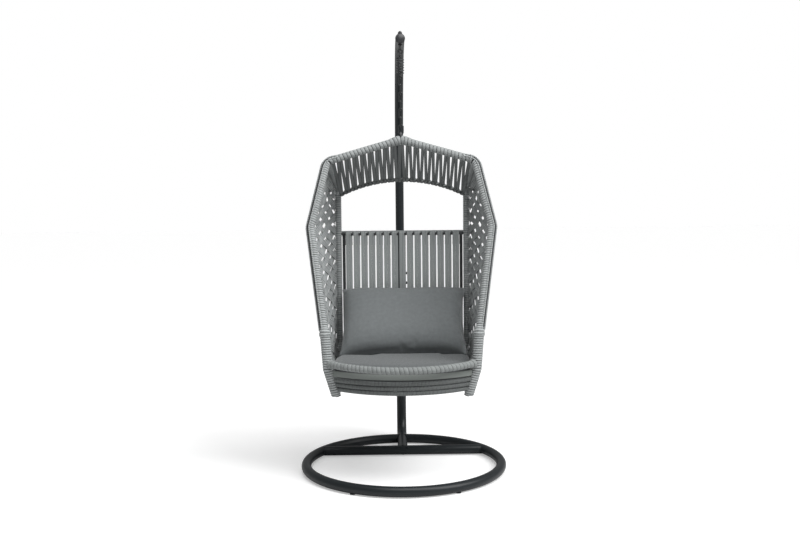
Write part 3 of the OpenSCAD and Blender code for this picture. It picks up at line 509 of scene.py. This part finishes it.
def clothMaterial(name, s):
    material, nodes, links, shader = newMaterial(name)
    calc = calculator(nodes, links)
    coords = nodes.new("ShaderNodeTexCoord")
    split = nodes.new("ShaderNodeSeparateXYZ")
    links.new(coords.outputs["Object"], split.inputs[0])
    diagonal = calc("ADD", split.outputs[1], split.outputs[2])
    warp = calc("SINE", calc("MULTIPLY", split.outputs[0], s["threads"]))
    weft = calc("SINE", calc("MULTIPLY", diagonal, s["threads"]))
    weave = calc("MULTIPLY", warp, weft)
    blotches = noiseOn(nodes, links, coords, s["blotch"], 6)
    tone = calc("ADD", blotches, calc("MULTIPLY", weave, 0.12))
    colourFrom(nodes, links, shader, tone, [c * 0.8 for c in s["colour"]], [c * 1.2 for c in s["colour"]])
    bumpFrom(nodes, links, shader, weave, 0.3, 0.0005)
    shader.inputs["Roughness"].default_value = 0.9
    shader.inputs["Sheen Weight"].default_value = 0.25
    return material


plaitTree = ropeGroup()
ropeLook = ropeMaterial("rope", {"seam": 0.26, "dark": (0.008, 0.009, 0.010), "light": (0.35, 0.368, 0.368)})
# the rim's rope made darker on the top run: painted shade where the overhead lamp falls brightest, deeper
# painted shade at every 2nd seam
shadedTopLook = ropeMaterial("topRope", {"seam": 0.16, "every": 2, "dark": (0.004, 0.005, 0.005),
                                   "light": (0.26, 0.275, 0.275)})
railLook = ropeMaterial("railRope", {"seam": 0.09, "dark": (0.012, 0.014, 0.015),
                                     "light": (0.22, 0.235, 0.232)})
strapLook = ropeMaterial("strap", {"seam": 0.07, "dark": (0.05, 0.055, 0.057),
                                   "light": (0.31, 0.33, 0.33)})
# net rope: wide painted shade at each rope's edges, for the shadows between the crossing ropes
netLook = ropeMaterial("netRope", {"seam": 0.42, "dark": (0.004, 0.005, 0.005),
                                   "light": (0.35, 0.37, 0.37)})
# apron rope: the rim's rope darkened, painted shade on bars that face forward and down, with wide painted
# shade between the bars
shadedBarLook = ropeMaterial("shadedApronRope", {"seam": 0.30, "dark": (0.006, 0.007, 0.007),
                                     "light": (0.15, 0.162, 0.160)})
# lacing rope: the rim's rope darkened, painted shade on the underside of the hood
shadedLaceLook = ropeMaterial("shadedLaceRope", {"seam": 0.16, "dark": (0.010, 0.011, 0.012),
                                     "light": (0.15, 0.16, 0.16)})
bandLook = ropeMaterial("bandRope", {"seam": 0.10, "dark": (0.02, 0.022, 0.024),
                                     "light": (0.19, 0.208, 0.196)})
# near-black rope: painted shade for the gap between the edge cords, also used for the strips and knots at the
# back
nearBlackLook = ropeMaterial("nearBlack", {"seam": 0.30, "dark": (0.008, 0.009, 0.01),
                                     "light": (0.03, 0.032, 0.034)})
powderLook = coatMaterial("powderCoat", {"colour": (0.0095, 0.0125, 0.0145), "grain": 900, "bump": 0.12,
                                         "rough": 0.40, "gloss": 0.34})
zincLook = coatMaterial("hardware", {"colour": (0.035, 0.037, 0.038), "grain": 500, "bump": 0.1, "rough": 0.3,
                                     "metal": 0.5})
nylonLook = coatMaterial("nylon", {"colour": (0.018, 0.019, 0.021), "grain": 1400, "bump": 0.2, "rough": 0.5})
tubeLook = coatMaterial("frameTube", {"colour": (0.045, 0.048, 0.05), "grain": 800, "bump": 0.12,
                                      "rough": 0.42})
pillowLook = clothMaterial("cushionCloth", {"colour": (0.142, 0.154, 0.157), "threads": 3600, "blotch": 60})
# seat cloth: the pillow's cloth made darker, painted shade on the seat cushion
shadedSeatLook = clothMaterial("shadedSeatCloth", {"colour": (0.088, 0.096, 0.098), "threads": 3600, "blotch": 60})
slotLooks = {"powder_coat": powderLook, "hardware": zincLook, "nylon": nylonLook, "frame_tube": tubeLook,
             "rope": ropeLook, "strap": strapLook, "cushion_cloth": pillowLook}
slotOf = {p["node"]: p["material_slot"] for p in frame["record"]["subparts"]}
for nodeName, obj in frame["nodes"].items():
    for index in range(max(1, len(obj.material_slots))):
        if not obj.material_slots:
            obj.data.materials.append(None)
        obj.material_slots[index].material = slotLooks[slotOf[nodeName]]
    if slotOf[nodeName] not in ("rope", "strap", "cushion_cloth"):
        smooth(obj, 35)
print("materials set")

# Rim
rimRope = {"pitch": 0.0106, "radius": 0.0155, "height": 0.0028, "steps": 20, "across": 4, "braids": 9}
topRope = {"pitch": 0.0172, "radius": 0.0158, "height": 0.0022, "steps": 20, "across": 6, "braids": 9}
rimWrap = {"size": 1.08, "topThinner": 0.01, "eye": 0.30, "eyeReach": 0.042, "knees": 0.30,
           "kneeReach": 0.018, "feet": 0.36, "footSpread": 0.009, "footTrim": 0.005, "footRound": 0.0175}
rimHalf = [corner, widest, knuckle, elbow, foot - unit(elbow - foot) * rimWrap["footTrim"]]
rimPoints = [flip(p) for p in reversed(rimHalf)] + [apex] + rimHalf
rimPath = roundPath(rimPoints, [0, *reversed(rimRadii[1:]), *rimRadii, 0], 0.003)


# The wrap is thicker over the hanging eye, round the knees and down the cross-wound feet, which end round
def rimSwell(p):
    s = rimWrap
    top = ramp(p.z - corner.z - 0.004, 0.012)
    feet = ramp(knuckle.z + 0.01 - p.z, 0.02)
    size = s["size"] - s["topThinner"] * top + s["eye"] * hump(p.x, s["eyeReach"])
    size += s["feet"] * feet + s["knees"] * hump(p.z - knuckle.z, s["kneeReach"])
    end = max(0.0, (foot.z + 0.012 - p.z) / s["footRound"])
    return size * math.sqrt(max(0.02, 1 - end * end))


def spread(p):  # the wrap of the feet lies a little outside its tube
    return p + Vector((rimWrap["footSpread"] * ramp(elbow.z - p.z, elbow.z - foot.z), 0, 0))


sidePath = [spread(p) for p in rimPath if p.x > 0 and p.z < corner.z]
rim = bothSides(woundRope(rimRope, sidePath, "MINIMUM", rimSwell), "rimRope")
finishPiece(rim, "rimRope", "chair", ropeLook, ["rim_wrap"])
topPath = [p for p in rimPath if p.z > corner.z - 0.008]
top = woundRope(topRope, topPath, "MINIMUM", rimSwell)
finishPiece(top, "topRope", "chair", shadedTopLook)
print("rim wound", len(rim.data.polygons))

# Uprights
uprightRope = {"pitch": 0.0088, "radius": 0.0155, "height": 0.0024, "steps": 20, "across": 4, "braids": 9,
               "bend": 0.035, "topGap": 0.0172}
uprightTop = corner - unit(corner - uprightBend) * uprightRope["topGap"]
uprightPath = roundPath([uprightFoot, uprightBend, uprightTop], [0, uprightRope["bend"], 0])
upright = woundRope(uprightRope, uprightPath, "MINIMUM")
leftUpright = duplicate(upright, "leftUprightRope", mirror)
finishPiece(upright, "rightUprightRope", "chair", ropeLook, ["upright_wrap_right"])
finishPiece(leftUpright, "leftUprightRope", "chair", ropeLook, ["upright_wrap_left"])
print("uprights wound")

# Seat sides
seatRope = {**rimRope, "radius": 0.0149, "frontGap": 0.012, "backGap": 0.0153}
seatFront, seatBack = onLine(elbow, foot, seatH), Vector((backX, backY, seatH))
sideDir = unit(seatBack - seatFront)
seatEnds = [seatFront + sideDir * seatRope["frontGap"], seatBack - sideDir * seatRope["backGap"]]
seatPath = dense(seatEnds, 0.006)
seatSide = bothSides(woundRope(seatRope, seatPath), "seatSideRope")
finishPiece(seatSide, "seatSideRope", "chair", ropeLook, ["seat_side_wraps"])
print("seat sides wound")

# Front rail, with a thicker wrap at both ends
railRope = {"pitch": 0.0190, "radius": 0.0156, "height": 0.0022, "steps": 24, "across": 6, "braids": 9,
            "at": 0.545, "bow": 0.150, "drop": 0.008, "trim": 0.0100, "ends": 0.24, "endX": 0.312,
            "endReach": 0.016}
railEnd = onLine(knuckle, elbow, railRope["at"])
railMid = Vector((0, railEnd.y - railRope["bow"], railRope["at"] - railRope["drop"]))


def railSwell(p):
    return 1 + railRope["ends"] * hump(abs(p.x) - railRope["endX"], railRope["endReach"])


rail = woundRope(railRope, bowPath(railEnd, railMid, railRope["trim"]), swell=railSwell)
finishPiece(rail, "frontRailRope", "chair", railLook, ["front_rail_wrap"])

# Apron bars and the band above them
apron = {"count": 3, "top": 0.4755, "pitch": 0.0205, "bow": 0.110, "drop": 0.002, "trim": 0.0147}
barRope = {"pitch": 0.0060, "radius": 0.0104, "height": 0.0014, "steps": 12, "across": 4, "braids": 5}
frontBand = {"at": 0.503, "width": 0.027, "thick": 0.0044, "step": 0.008, "sides": 12}


def apronPath(height):
    end = onLine(elbow, foot, height)
    return bowPath(end, Vector((0, end.y - apron["bow"], height - apron["drop"])), apron["trim"])


bars = [woundRope(barRope, apronPath(apron["top"] - apron["pitch"] * k)) for k in range(apron["count"])]
finishPiece(join(bars, "apronRopes"), "apronRopes", "chair", shadedBarLook, ["apron_wraps"])
bandPath = apronPath(frontBand["at"])
band = strand(frontBand["width"], frontBand["thick"], pathLength(bandPath), frontBand["step"],
              frontBand["sides"])
bendAlong(band, bandPath)
smooth(band)
finishPiece(band, "frontBand", "chair", bandLook, ["front_band"])
print("apron wound")

# Edge cords: two light ones with a near-black cord between them, painted shade in the gap between the two
outerCord = {"pitch": 0.0100, "radius": 0.0047, "height": 0.0014, "steps": 10, "across": 4, "braids": 3,
             "out": 0.0205, "front": 0, "start": 0.06, "sunk": 0.55}
frontCord = {**outerCord, "radius": 0.0040, "out": 0.0085, "front": 0.0155}
darkCord = {**outerCord, "radius": 0.0032, "pitch": 0.0125, "height": 0.0012, "out": 0.0155, "front": 0.0098}


# Cord beside the rim, out from and in front of its axis, that begins sunk in the wrap at the top corner
def edgeRope(s):
    run = [corner + unit(apex - corner) * s["start"], corner, widest, knuckle]
    points = []
    for i, p in enumerate(run):
        legs = (max(i - 1, 0), min(i, len(run) - 2))
        before, after = (unit((run[k + 1] - run[k]).cross(Vector((0, 1, 0)))) for k in legs)
        away = s["sunk"] * s["out"] if i == 0 else s["out"]
        points.append(p + (before + after) / (1 + before.dot(after)) * away + Vector((0, -s["front"], 0)))
    return woundRope(s, roundPath(points, [0] + [r + s["out"] for r in rimRadii[1:3]] + [0]), "MINIMUM")


cord = join([edgeRope(outerCord), edgeRope(frontCord)], "cord")
# the near-black middle cord is painted shade in the gap between the light cords
nearBlack = bothSides(edgeRope(darkCord), "edgeShadowCord")
finishPiece(nearBlack, "edgeShadowCord", "chair", nearBlackLook)
cord = bothSides(cord, "edgeCords")
finishPiece(cord, "edgeCords", "chair", ropeLook, ["edge_cord"])
print("edge cords wound")

# Side nets: bands of ropes that cross, from the rim to the upright
net = {"rows": 16, "cols": 5, "low": 0.446, "top": 1.401, "frontGap": 0.0160, "backGap": 0.0095,
       "backOut": 0.0130, "ropes": 4, "ropeWidth": 0.0091, "ropeThick": 0.0044, "spacing": 1.02,
       "lift": 0.0022, "step": 0.011, "past": 0.004, "topSlope": 0.030, "samples": 10}
rowH = (net["top"] - net["low"]) / net["rows"]
ropeGap = net["ropeWidth"] * net["spacing"]


def rimAt(z):
    for a, b in ((corner, widest), (widest, knuckle), (knuckle, elbow)):
        if z > b.z:
            return onLine(a, b, z)
    return onLine(elbow, foot, z)


def backAt(z):
    bendLow = uprightBend.z - 0.02
    if z < bendLow:
        return Vector((uprightBend.x, uprightBend.y, z))
    return onLine(uprightBend, corner, z)


# Point of the net at u from front to back, lifted off its surface, with the surface's normal
def netPoint(u, z, lift):
    a, b = rimAt(z), backAt(z)
    across = unit(b - a)
    normal = unit(across.cross(rimAt(z + 0.01) - rimAt(z - 0.01)))
    a, b = a + across * net["frontGap"], b - across * net["backGap"] + normal * net["backOut"]
    return a.lerp(b, u) + normal * lift, normal


# Turns along the path that lay a band's width in the net's surface
def netTilts(path, normals):
    tilts = []
    for k, normal in enumerate(normals):
        along = unit(path[min(k + 1, len(path) - 1)] - path[max(k - 1, 0)])
        level = unit(Vector((0, 0, 1)).cross(along))
        facing = unit(normal - along * normal.dot(along))
        angle = math.atan2(level.cross(facing).dot(along), level.dot(facing))
        tilts.append(angle - math.pi * round(angle / math.pi))
    return tilts


# Band of ropes from the rim at height start, with a slope of 1 or -1 half row a column; None if too short
def netBand(start, slope):
    path, normals = [], []
    rowSign = 1 if round((start - net["low"]) / rowH) % 2 else -1
    for k in range(net["cols"] * net["samples"] + 1):
        c = k / net["samples"]
        z = start + slope * rowH / 2 * c
        if net["low"] - net["past"] <= z <= net["top"] - net["past"] - net["topSlope"] * c / net["cols"]:
            wave = math.cos(math.pi * (c - 0.5)) * slope * rowSign
            point, normal = netPoint(c / net["cols"], z, wave * net["lift"])
            path.append(point)
            normals.append(normal)
    if len(path) < 6:
        return None
    rope = strand(net["ropeWidth"], net["ropeThick"], pathLength(path), net["step"])
    repeat(rope, net["ropes"], (0, 0, ropeGap), merged=False)
    edit(rope)
    bpy.ops.transform.translate(value=(0, 0, -ropeGap * (net["ropes"] - 1) / 2))
    only(rope)
    bendAlong(rope, path, tilt=netTilts(path, normals))
    return rope


bands = []
for slope, shift in ((1, -0.25), (-1, 0.25)):
    for k in range(-net["cols"], net["rows"] + net["cols"] + 1):
        piece = netBand(net["low"] + (k + shift) * rowH, slope)
        if piece:
            bands.append(piece)
rightNet = join(bands, "net")
smooth(rightNet, 60)
leftNet = duplicate(rightNet, "leftNet", mirror)
finishPiece(rightNet, "rightNet", "chair", netLook, ["side_net_right"])
finishPiece(leftNet, "leftNet", "chair", netLook, ["side_net_left"])
print("nets woven", len(rightNet.data.polygons))

# Back straps, in pairs, with a rope along the rail over them
backStrap = {"count": 15, "pitch": 0.037, "rope": 0.0162, "thick": 0.0030, "tail": 0.055, "tailOut": 0.004,
             "lowR": 0.0113, "overlap": 0.0004, "step": 0.005}
capRope = {"width": 0.0080, "thick": 0.0070, "length": 0.590, "lift": 0.0108, "step": 0.010}


# Line of a strap in its own plane: up behind the rail, over it, down to the seat rail and round it
def strapPath(s):
    halfTurn = [math.pi * k / 12 for k in range(13)]
    topR, lowR = loopR + s["thick"] / 2, s["lowR"] + s["thick"] / 2
    line = [(topR + s["tailOut"], railH - s["tail"])]
    line += [(topR * math.cos(t), railH + topR * math.sin(t)) for t in halfTurn]
    line += [(-lowR * math.cos(t), seatH - lowR * math.sin(t)) for t in halfTurn]
    line += [(lowR, seatH + s["tail"])]
    return dense([Vector((y, z, 0)) for y, z in line], 0.02)


strapLine = strapPath(backStrap)
strap = strand(backStrap["rope"], backStrap["thick"], pathLength(strapLine), backStrap["step"])
bendAlong(strap, strapLine, flat=True)
place(strap, Matrix(((0, 0, 1, 0), (1, 0, 0, backY), (0, 1, 0, 0), (0, 0, 0, 1))))
straps = []
for i in range(backStrap["count"]):
    for side in (-1, 1):
        x = (i - (backStrap["count"] - 1) / 2) * backStrap["pitch"]
        x += side * (backStrap["rope"] - backStrap["overlap"]) / 2
        straps.append(duplicate(strap, "strap", Matrix.Translation((x, 0, 0))))
cap = strand(capRope["width"], capRope["thick"], capRope["length"], capRope["step"])
place(cap, Matrix.Translation((-capRope["length"] / 2, backY, railH + capRope["lift"])))
straps = join(straps + [cap], "backStraps")
smooth(straps)
finishPiece(straps, "backStraps", "chair", strapLook, ["back_straps"])

# Near-black strips beside the outer straps and near-black knots under the rail between the straps
sideStrip = {"x": 0.2845, "back": 0.006, "narrow": 0.95}
knots = {"radius": 0.0062, "long": 0.012, "shift": 0.0215, "front": 0.003, "under": 0.002}
darkPieces = []
for side in (-1, 1):
    there = Matrix.Translation((side * sideStrip["x"], sideStrip["back"], 0))
    darkPieces.append(duplicate(strap, "darkStrip", there @ Matrix.Scale(sideStrip["narrow"], 4, (1, 0, 0))))
bpy.data.objects.remove(strap)
bpy.ops.mesh.primitive_cylinder_add(vertices=12, radius=knots["radius"], depth=knots["long"],
                                    rotation=(0, math.pi / 2, 0))
knot = only(bpy.context.object)
bpy.ops.object.transform_apply(rotation=True)
setUv(knot, lambda co, middle: (co.x / plaitLength, 0.5))
for i in range(-backStrap["count"] + 1, backStrap["count"], 2):
    x = i * backStrap["pitch"] / 2 - knots["shift"]
    there = Matrix.Translation((x, backY - loopR - knots["front"], railH - knots["under"]))
    darkPieces.append(duplicate(knot, "knot", there))
bpy.data.objects.remove(knot)
darkPieces = join(darkPieces, "backDarkPieces")
smooth(darkPieces)
finishPiece(darkPieces, "backDarkPieces", "chair", nearBlackLook)
print("back straps laid")

# Seat straps, looped round both side rails
deck = {"count": 12, "width": 0.029, "thick": 0.0030, "reach": 0.83, "gap": 0.0003, "step": 0.006}
deckR = wrapR + deck["gap"] + deck["thick"] / 2
deckLoop = [(deckR * math.sin(t), deckR * math.cos(t)) for t in [2 * math.pi * k / 20 for k in range(17)]]
deckSpan = deck["reach"] * (seatBack.y - seatFront.y)
deckStraps = []
for i in range(deck["count"]):
    y = (seatFront.y + seatBack.y) / 2 + (i / (deck["count"] - 1) - 0.5) * deckSpan
    p = seatFront.lerp(seatBack, (y - seatFront.y) / (seatBack.y - seatFront.y))
    rightLoop = [Vector((p.x + a, seatH + b, 0)) for a, b in reversed(deckLoop)]
    path = dense(rightLoop + [flip(q) for q in reversed(rightLoop)], 0.02)
    piece = strand(deck["width"], deck["thick"], pathLength(path), deck["step"])
    bendAlong(piece, path, flat=True)
    place(piece, Matrix(((1, 0, 0, 0), (0, 0, 1, y), (0, 1, 0, 0), (0, 0, 0, 1))))
    deckStraps.append(piece)
deckPiece = join(deckStraps, "seatStraps")
faceOutward(deckPiece)
smooth(deckPiece)
finishPiece(deckPiece, "seatStraps", "chair", strapLook, ["seat_straps"])
print("seat straps laid")

# Hood lacing: spans from the rim to the arch, with rings round the arch
lacing = {"count": 16, "pitch": 0.035, "width": 0.0150, "leftWider": 1.14, "thick": 0.0032, "half": 0.0056,
          "apart": 0.0012, "footEnd": 0.296, "headEnd": 0.322, "footSink": 0.004, "headSink": 0.002,
          "ring": 0.0076, "ringThick": 0.0017, "ringOut": 0.0016, "ringEnd": 0.292, "step": 0.03}


def topPoint(x):
    p = apex.lerp(corner, abs(x) / corner.x)
    return Vector((x, p.y, p.z))


def within(x, limit):
    return math.copysign(min(limit, abs(x)), x)


# Lays a piece made along +X from a towards b, its width along side
def alongMatrix(a, b, side=Vector((1, 0, 0))):
    x = unit(b - a)
    y = unit(x.cross(side))
    z = x.cross(y)
    return Matrix(((x.x, y.x, z.x, a.x), (x.y, y.y, z.y, a.y), (x.z, y.z, z.z, a.z), (0, 0, 0, 1)))


ringTurn = Matrix(((0, 0, 1, 0), (1, 0, 0, 0), (0, 1, 0, 0), (0, 0, 0, 1)))  # the ring's axis to X
bpy.ops.mesh.primitive_torus_add(major_radius=loopR + lacing["ringOut"], minor_radius=lacing["ringThick"],
                                 major_segments=20, minor_segments=8)
ring = bpy.context.object
edit(ring)
bpy.ops.transform.resize(value=(1, 1, lacing["width"] / (2 * lacing["ringThick"])))
only(ring)
setUv(ring, lambda co, middle: (math.atan2(co.y, co.x) * 2, 0.5 + co.z / lacing["width"]))
laces = []
for i in range(-1, lacing["count"] + 1):
    x = (i - (lacing["count"] - 1) / 2) * lacing["pitch"]
    width = lacing["width"] * (lacing["leftWider"] if x < 0 else 1)
    for side in (-1, 1):
        footX = within(x + side * lacing["half"], lacing["footEnd"])
        headX = within(x + side * (lacing["pitch"] / 2 - lacing["half"]), lacing["headEnd"])
        a = bowPoint(archEnd, archMid, footX) + Vector((0, -side * lacing["apart"], 0))
        b = topPoint(headX) + Vector((0, side * lacing["apart"], 0))
        way = unit(b - a)
        start, stop = a + way * (loopR - lacing["footSink"]), b - way * (wrapR - lacing["headSink"])
        piece = strand(width, lacing["thick"], (stop - start).length, lacing["step"])
        place(piece, alongMatrix(start, stop))
        laces.append(piece)
        ringX = x + side * lacing["ring"]
        if abs(ringX) <= lacing["ringEnd"]:
            at, beside = (bowPoint(archEnd, archMid, ringX + d) for d in (0, 0.001))
            laces.append(duplicate(ring, "ring", alongMatrix(at, beside, Vector((0, 0, 1))) @ ringTurn))
bpy.data.objects.remove(ring)
lacePiece = join(laces, "hoodLacing")
smooth(lacePiece)
finishPiece(lacePiece, "hoodLacing", "chair", shadedLaceLook, ["hood_lacing"])
print("hood laced")

# Spring
spring = {"wire": 0.005, "od": 0.036, "turns": 6, "pitch": 0.0118, "hook": 0.008, "lead": 0.003,
          "top": 1.9063, "hookFrom": math.radians(-70), "hookTurn": math.radians(250), "steps": 24,
          "ease": 0.005}


def bezier(a, b, c, d, count=8):
    return [(1 - t) ** 3 * a + 3 * t * (1 - t) ** 2 * b + 3 * t * t * (1 - t) * c + t ** 3 * d
            for t in [k / count for k in range(1, count)]]


# Line of the wire from the upper hook down to the lower one, and the heights where the coil begins and ends
def springPath(s):
    r = (s["od"] - s["wire"]) / 2
    hookZ = s["top"] + s["wire"] / 2 - s["hook"]
    coilTop = hookZ - s["hook"] - s["lead"]
    coilLow = coilTop - s["turns"] * s["pitch"]
    lowHookZ = coilLow - s["lead"] - s["hook"]
    angles = [s["hookFrom"] + s["hookTurn"] * k / 24 for k in range(25)]
    upper = [Vector((0, s["hook"] * math.cos(t), hookZ + s["hook"] * math.sin(t))) for t in angles]
    tip = upper[0] + s["wire"] * Vector((0, math.sin(s["hookFrom"]), -math.cos(s["hookFrom"])))
    upper = [tip] + upper
    quarter = s["steps"] // 4
    helix = []
    for k in range(quarter, s["turns"] * s["steps"] - quarter + 1):
        t = math.radians(-90 - 360 * k / s["steps"])
        helix.append(Vector((r * math.cos(t), r * math.sin(t), coilTop - s["pitch"] * k / s["steps"])))
    drop = Vector((0, 0, s["ease"]))
    lead = bezier(upper[-1], upper[-1] - drop, helix[0] + Vector((s["ease"], 0, 0.001)), helix[0])
    lower = [Vector((0, p.y, lowHookZ + hookZ - p.z)) for p in reversed(upper)]
    tail = bezier(helix[-1], helix[-1] - Vector((s["ease"], 0, 0.001)), lower[0] + drop, lower[0])
    return upper + lead + helix + tail + lower, coilTop, coilLow


wirePath, coilTop, coilLow = springPath(spring)
wire = guide(wirePath, "MINIMUM")
wire.data.bevel_depth = spring["wire"] / 2
wire.data.bevel_resolution = 3
wire.data.use_fill_caps = True
only(wire)
bpy.ops.object.convert(target="MESH")
wire = bpy.context.object
edit(wire)
bpy.ops.mesh.remove_doubles(threshold=1e-6)
closeEnds(wire)
smooth(wire)
wire.data.materials.clear()
wire.data.materials.append(zincLook)
place(wire, toHook)
wire.name = wire.data.name = "springCoil"

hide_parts("spring")
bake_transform(wire)
print("spring coiled")

# Cushions, each from its own node: the seat's rear is flattened and lowered under the pillow
cushionPad = {"node": "seat_cushion", "scale": (1.045, 1.0, 1.0), "shift": (0, 0, -0.003), "flatten": 0.30,
              "dip": 0.036, "sideH": 0.02, "rearY": hookY - 0.06, "voxel": 0.008, "pressure": 2.0,
              "cap": 0.004, "frames": 16, "under": 0}
pillowPad = {"node": "pillow", "scale": (0.995, 1.0, 1.09), "shift": (0.003, 0.002, -0.0205),
             "voxel": 0.008, "pressure": 1.2, "cap": 0.005, "frames": 16, "under": 0.030}


def swell(obj, s):  # cloth under pressure, its movement capped, left as plain mesh
    rest = [v.co.copy() for v in obj.data.vertices]
    cloth = obj.modifiers.new("cloth", "CLOTH")
    cloth.settings.use_pressure = True
    cloth.settings.uniform_pressure_force = s["pressure"]
    cloth.settings.effector_weights.gravity = 0
    cloth.settings.quality = 5
    cloth.point_cache.frame_start, cloth.point_cache.frame_end = 1, s["frames"]
    for f in range(1, s["frames"] + 1):
        scene.frame_set(f)
    swollen = obj.evaluated_get(bpy.context.evaluated_depsgraph_get()).to_mesh()
    moved = [v.co.copy() for v in swollen.vertices]
    obj.modifiers.remove(cloth)
    scene.frame_set(1)
    for v, a, b in zip(obj.data.vertices, rest, moved):
        step = b - a
        if step.length > s["cap"]:
            step *= s["cap"] / step.length
        v.co = a + step


def padFrom(s):
    node = frame["nodes"][s["node"]]
    only(node)
    bpy.ops.object.duplicate()
    pad = bpy.context.object
    for m in list(pad.modifiers):
        pad.modifiers.remove(m)
    pad.parent = None
    low, high = (Vector(c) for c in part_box(s["node"]))
    edit(pad)
    bpy.ops.transform.resize(value=s["scale"], center_override=(low + high) / 2)
    bpy.ops.transform.translate(value=s["shift"])
    only(pad)
    if "flatten" in s:
        above = low.z + s["sideH"]
        edit(pad, lambda co: co.z > above)
        bpy.ops.transform.resize(value=(1, 1, s["flatten"]), center_override=(0, 0, high.z - 0.001))
        edit(pad, lambda co: co.z > above and co.y > s["rearY"])
        bpy.ops.transform.translate(value=(0, 0, -s["dip"]))
        only(pad)
    remesh = pad.modifiers.new("remesh", "REMESH")
    remesh.mode = "VOXEL"
    remesh.voxel_size = s["voxel"]
    applyAll(pad)
    swell(pad, s)
    soften = pad.modifiers.new("soften", "SMOOTH")
    soften.iterations = 3
    finer = pad.modifiers.new("finer", "SUBSURF")
    finer.levels = finer.render_levels = 1
    applyAll(pad)
    for v in pad.data.vertices:
        v.co.z = max(v.co.z, low.z - s["under"])
    smooth(pad, 60)
    return pad


for padSettings, name, body, look in ((cushionPad, "seatPad", "seat_cushion", shadedSeatLook),
                                      (pillowPad, "backPillow", "pillow", pillowLook)):
    pad = padFrom(padSettings)
    finishPiece(pad, name, body, look, [padSettings["node"]], Matrix.Identity(4))
    print(name, "sewn", len(pad.data.polygons))

# Floor, which glows a little for the camera alone, and the pale world round it
room = {"floor": 60, "grey": 0.80, "glow": 0.36, "fill": 0.32, "white": 1.0}
addCamera(camera)
bpy.ops.mesh.primitive_plane_add(size=room["floor"])
floor = bpy.context.object
floor.name = "floor"
floorLook, nodes, links, shader = newMaterial("floor")
shader.inputs["Base Color"].default_value = (room["grey"], room["grey"], room["grey"], 1)
shader.inputs["Roughness"].default_value = 0.7
shader.inputs["Specular IOR Level"].default_value = 0.1
shader.inputs["Emission Color"].default_value = (1, 1, 1, 1)
seen = nodes.new("ShaderNodeLightPath").outputs["Is Camera Ray"]
links.new(calculator(nodes, links)("MULTIPLY", seen, room["glow"]), shader.inputs["Emission Strength"])
floor.data.materials.append(floorLook)

world = bpy.data.worlds.new("studio")
scene.world = world
world.use_nodes = True
nodes, links = world.node_tree.nodes, world.node_tree.links
strength = nodes.new("ShaderNodeMapRange")
strength.inputs["To Min"].default_value = room["fill"]
strength.inputs["To Max"].default_value = room["white"]
links.new(nodes.new("ShaderNodeLightPath").outputs["Is Camera Ray"], strength.inputs["Value"])
links.new(strength.outputs[0], nodes["Background"].inputs["Strength"])
nodes["Background"].inputs["Color"].default_value = (1, 1, 1, 1)

# Lamps
lampAim = Vector((0, 0, 0.7))
lamps = [{"name": "key", "kind": "SUN", "place": (2.3, -1.1, 3.1), "size": math.radians(40), "watts": 2.3},
         {"name": "overhead", "kind": "AREA", "place": (0.3, -1.6, 3.7), "size": 2.4, "watts": 90}]
for s in lamps:
    bpy.ops.object.light_add(type=s["kind"], location=s["place"])
    lamp = bpy.context.object
    lamp.name = s["name"]
    if s["kind"] == "SUN":
        lamp.data.angle = s["size"]
    else:
        lamp.data.size = s["size"]
    lamp.data.energy = s["watts"]
    lamp.rotation_euler = (lampAim - Vector(s["place"])).to_track_quat("-Z", "Y").to_euler()
scene.view_settings.view_transform = "Standard"
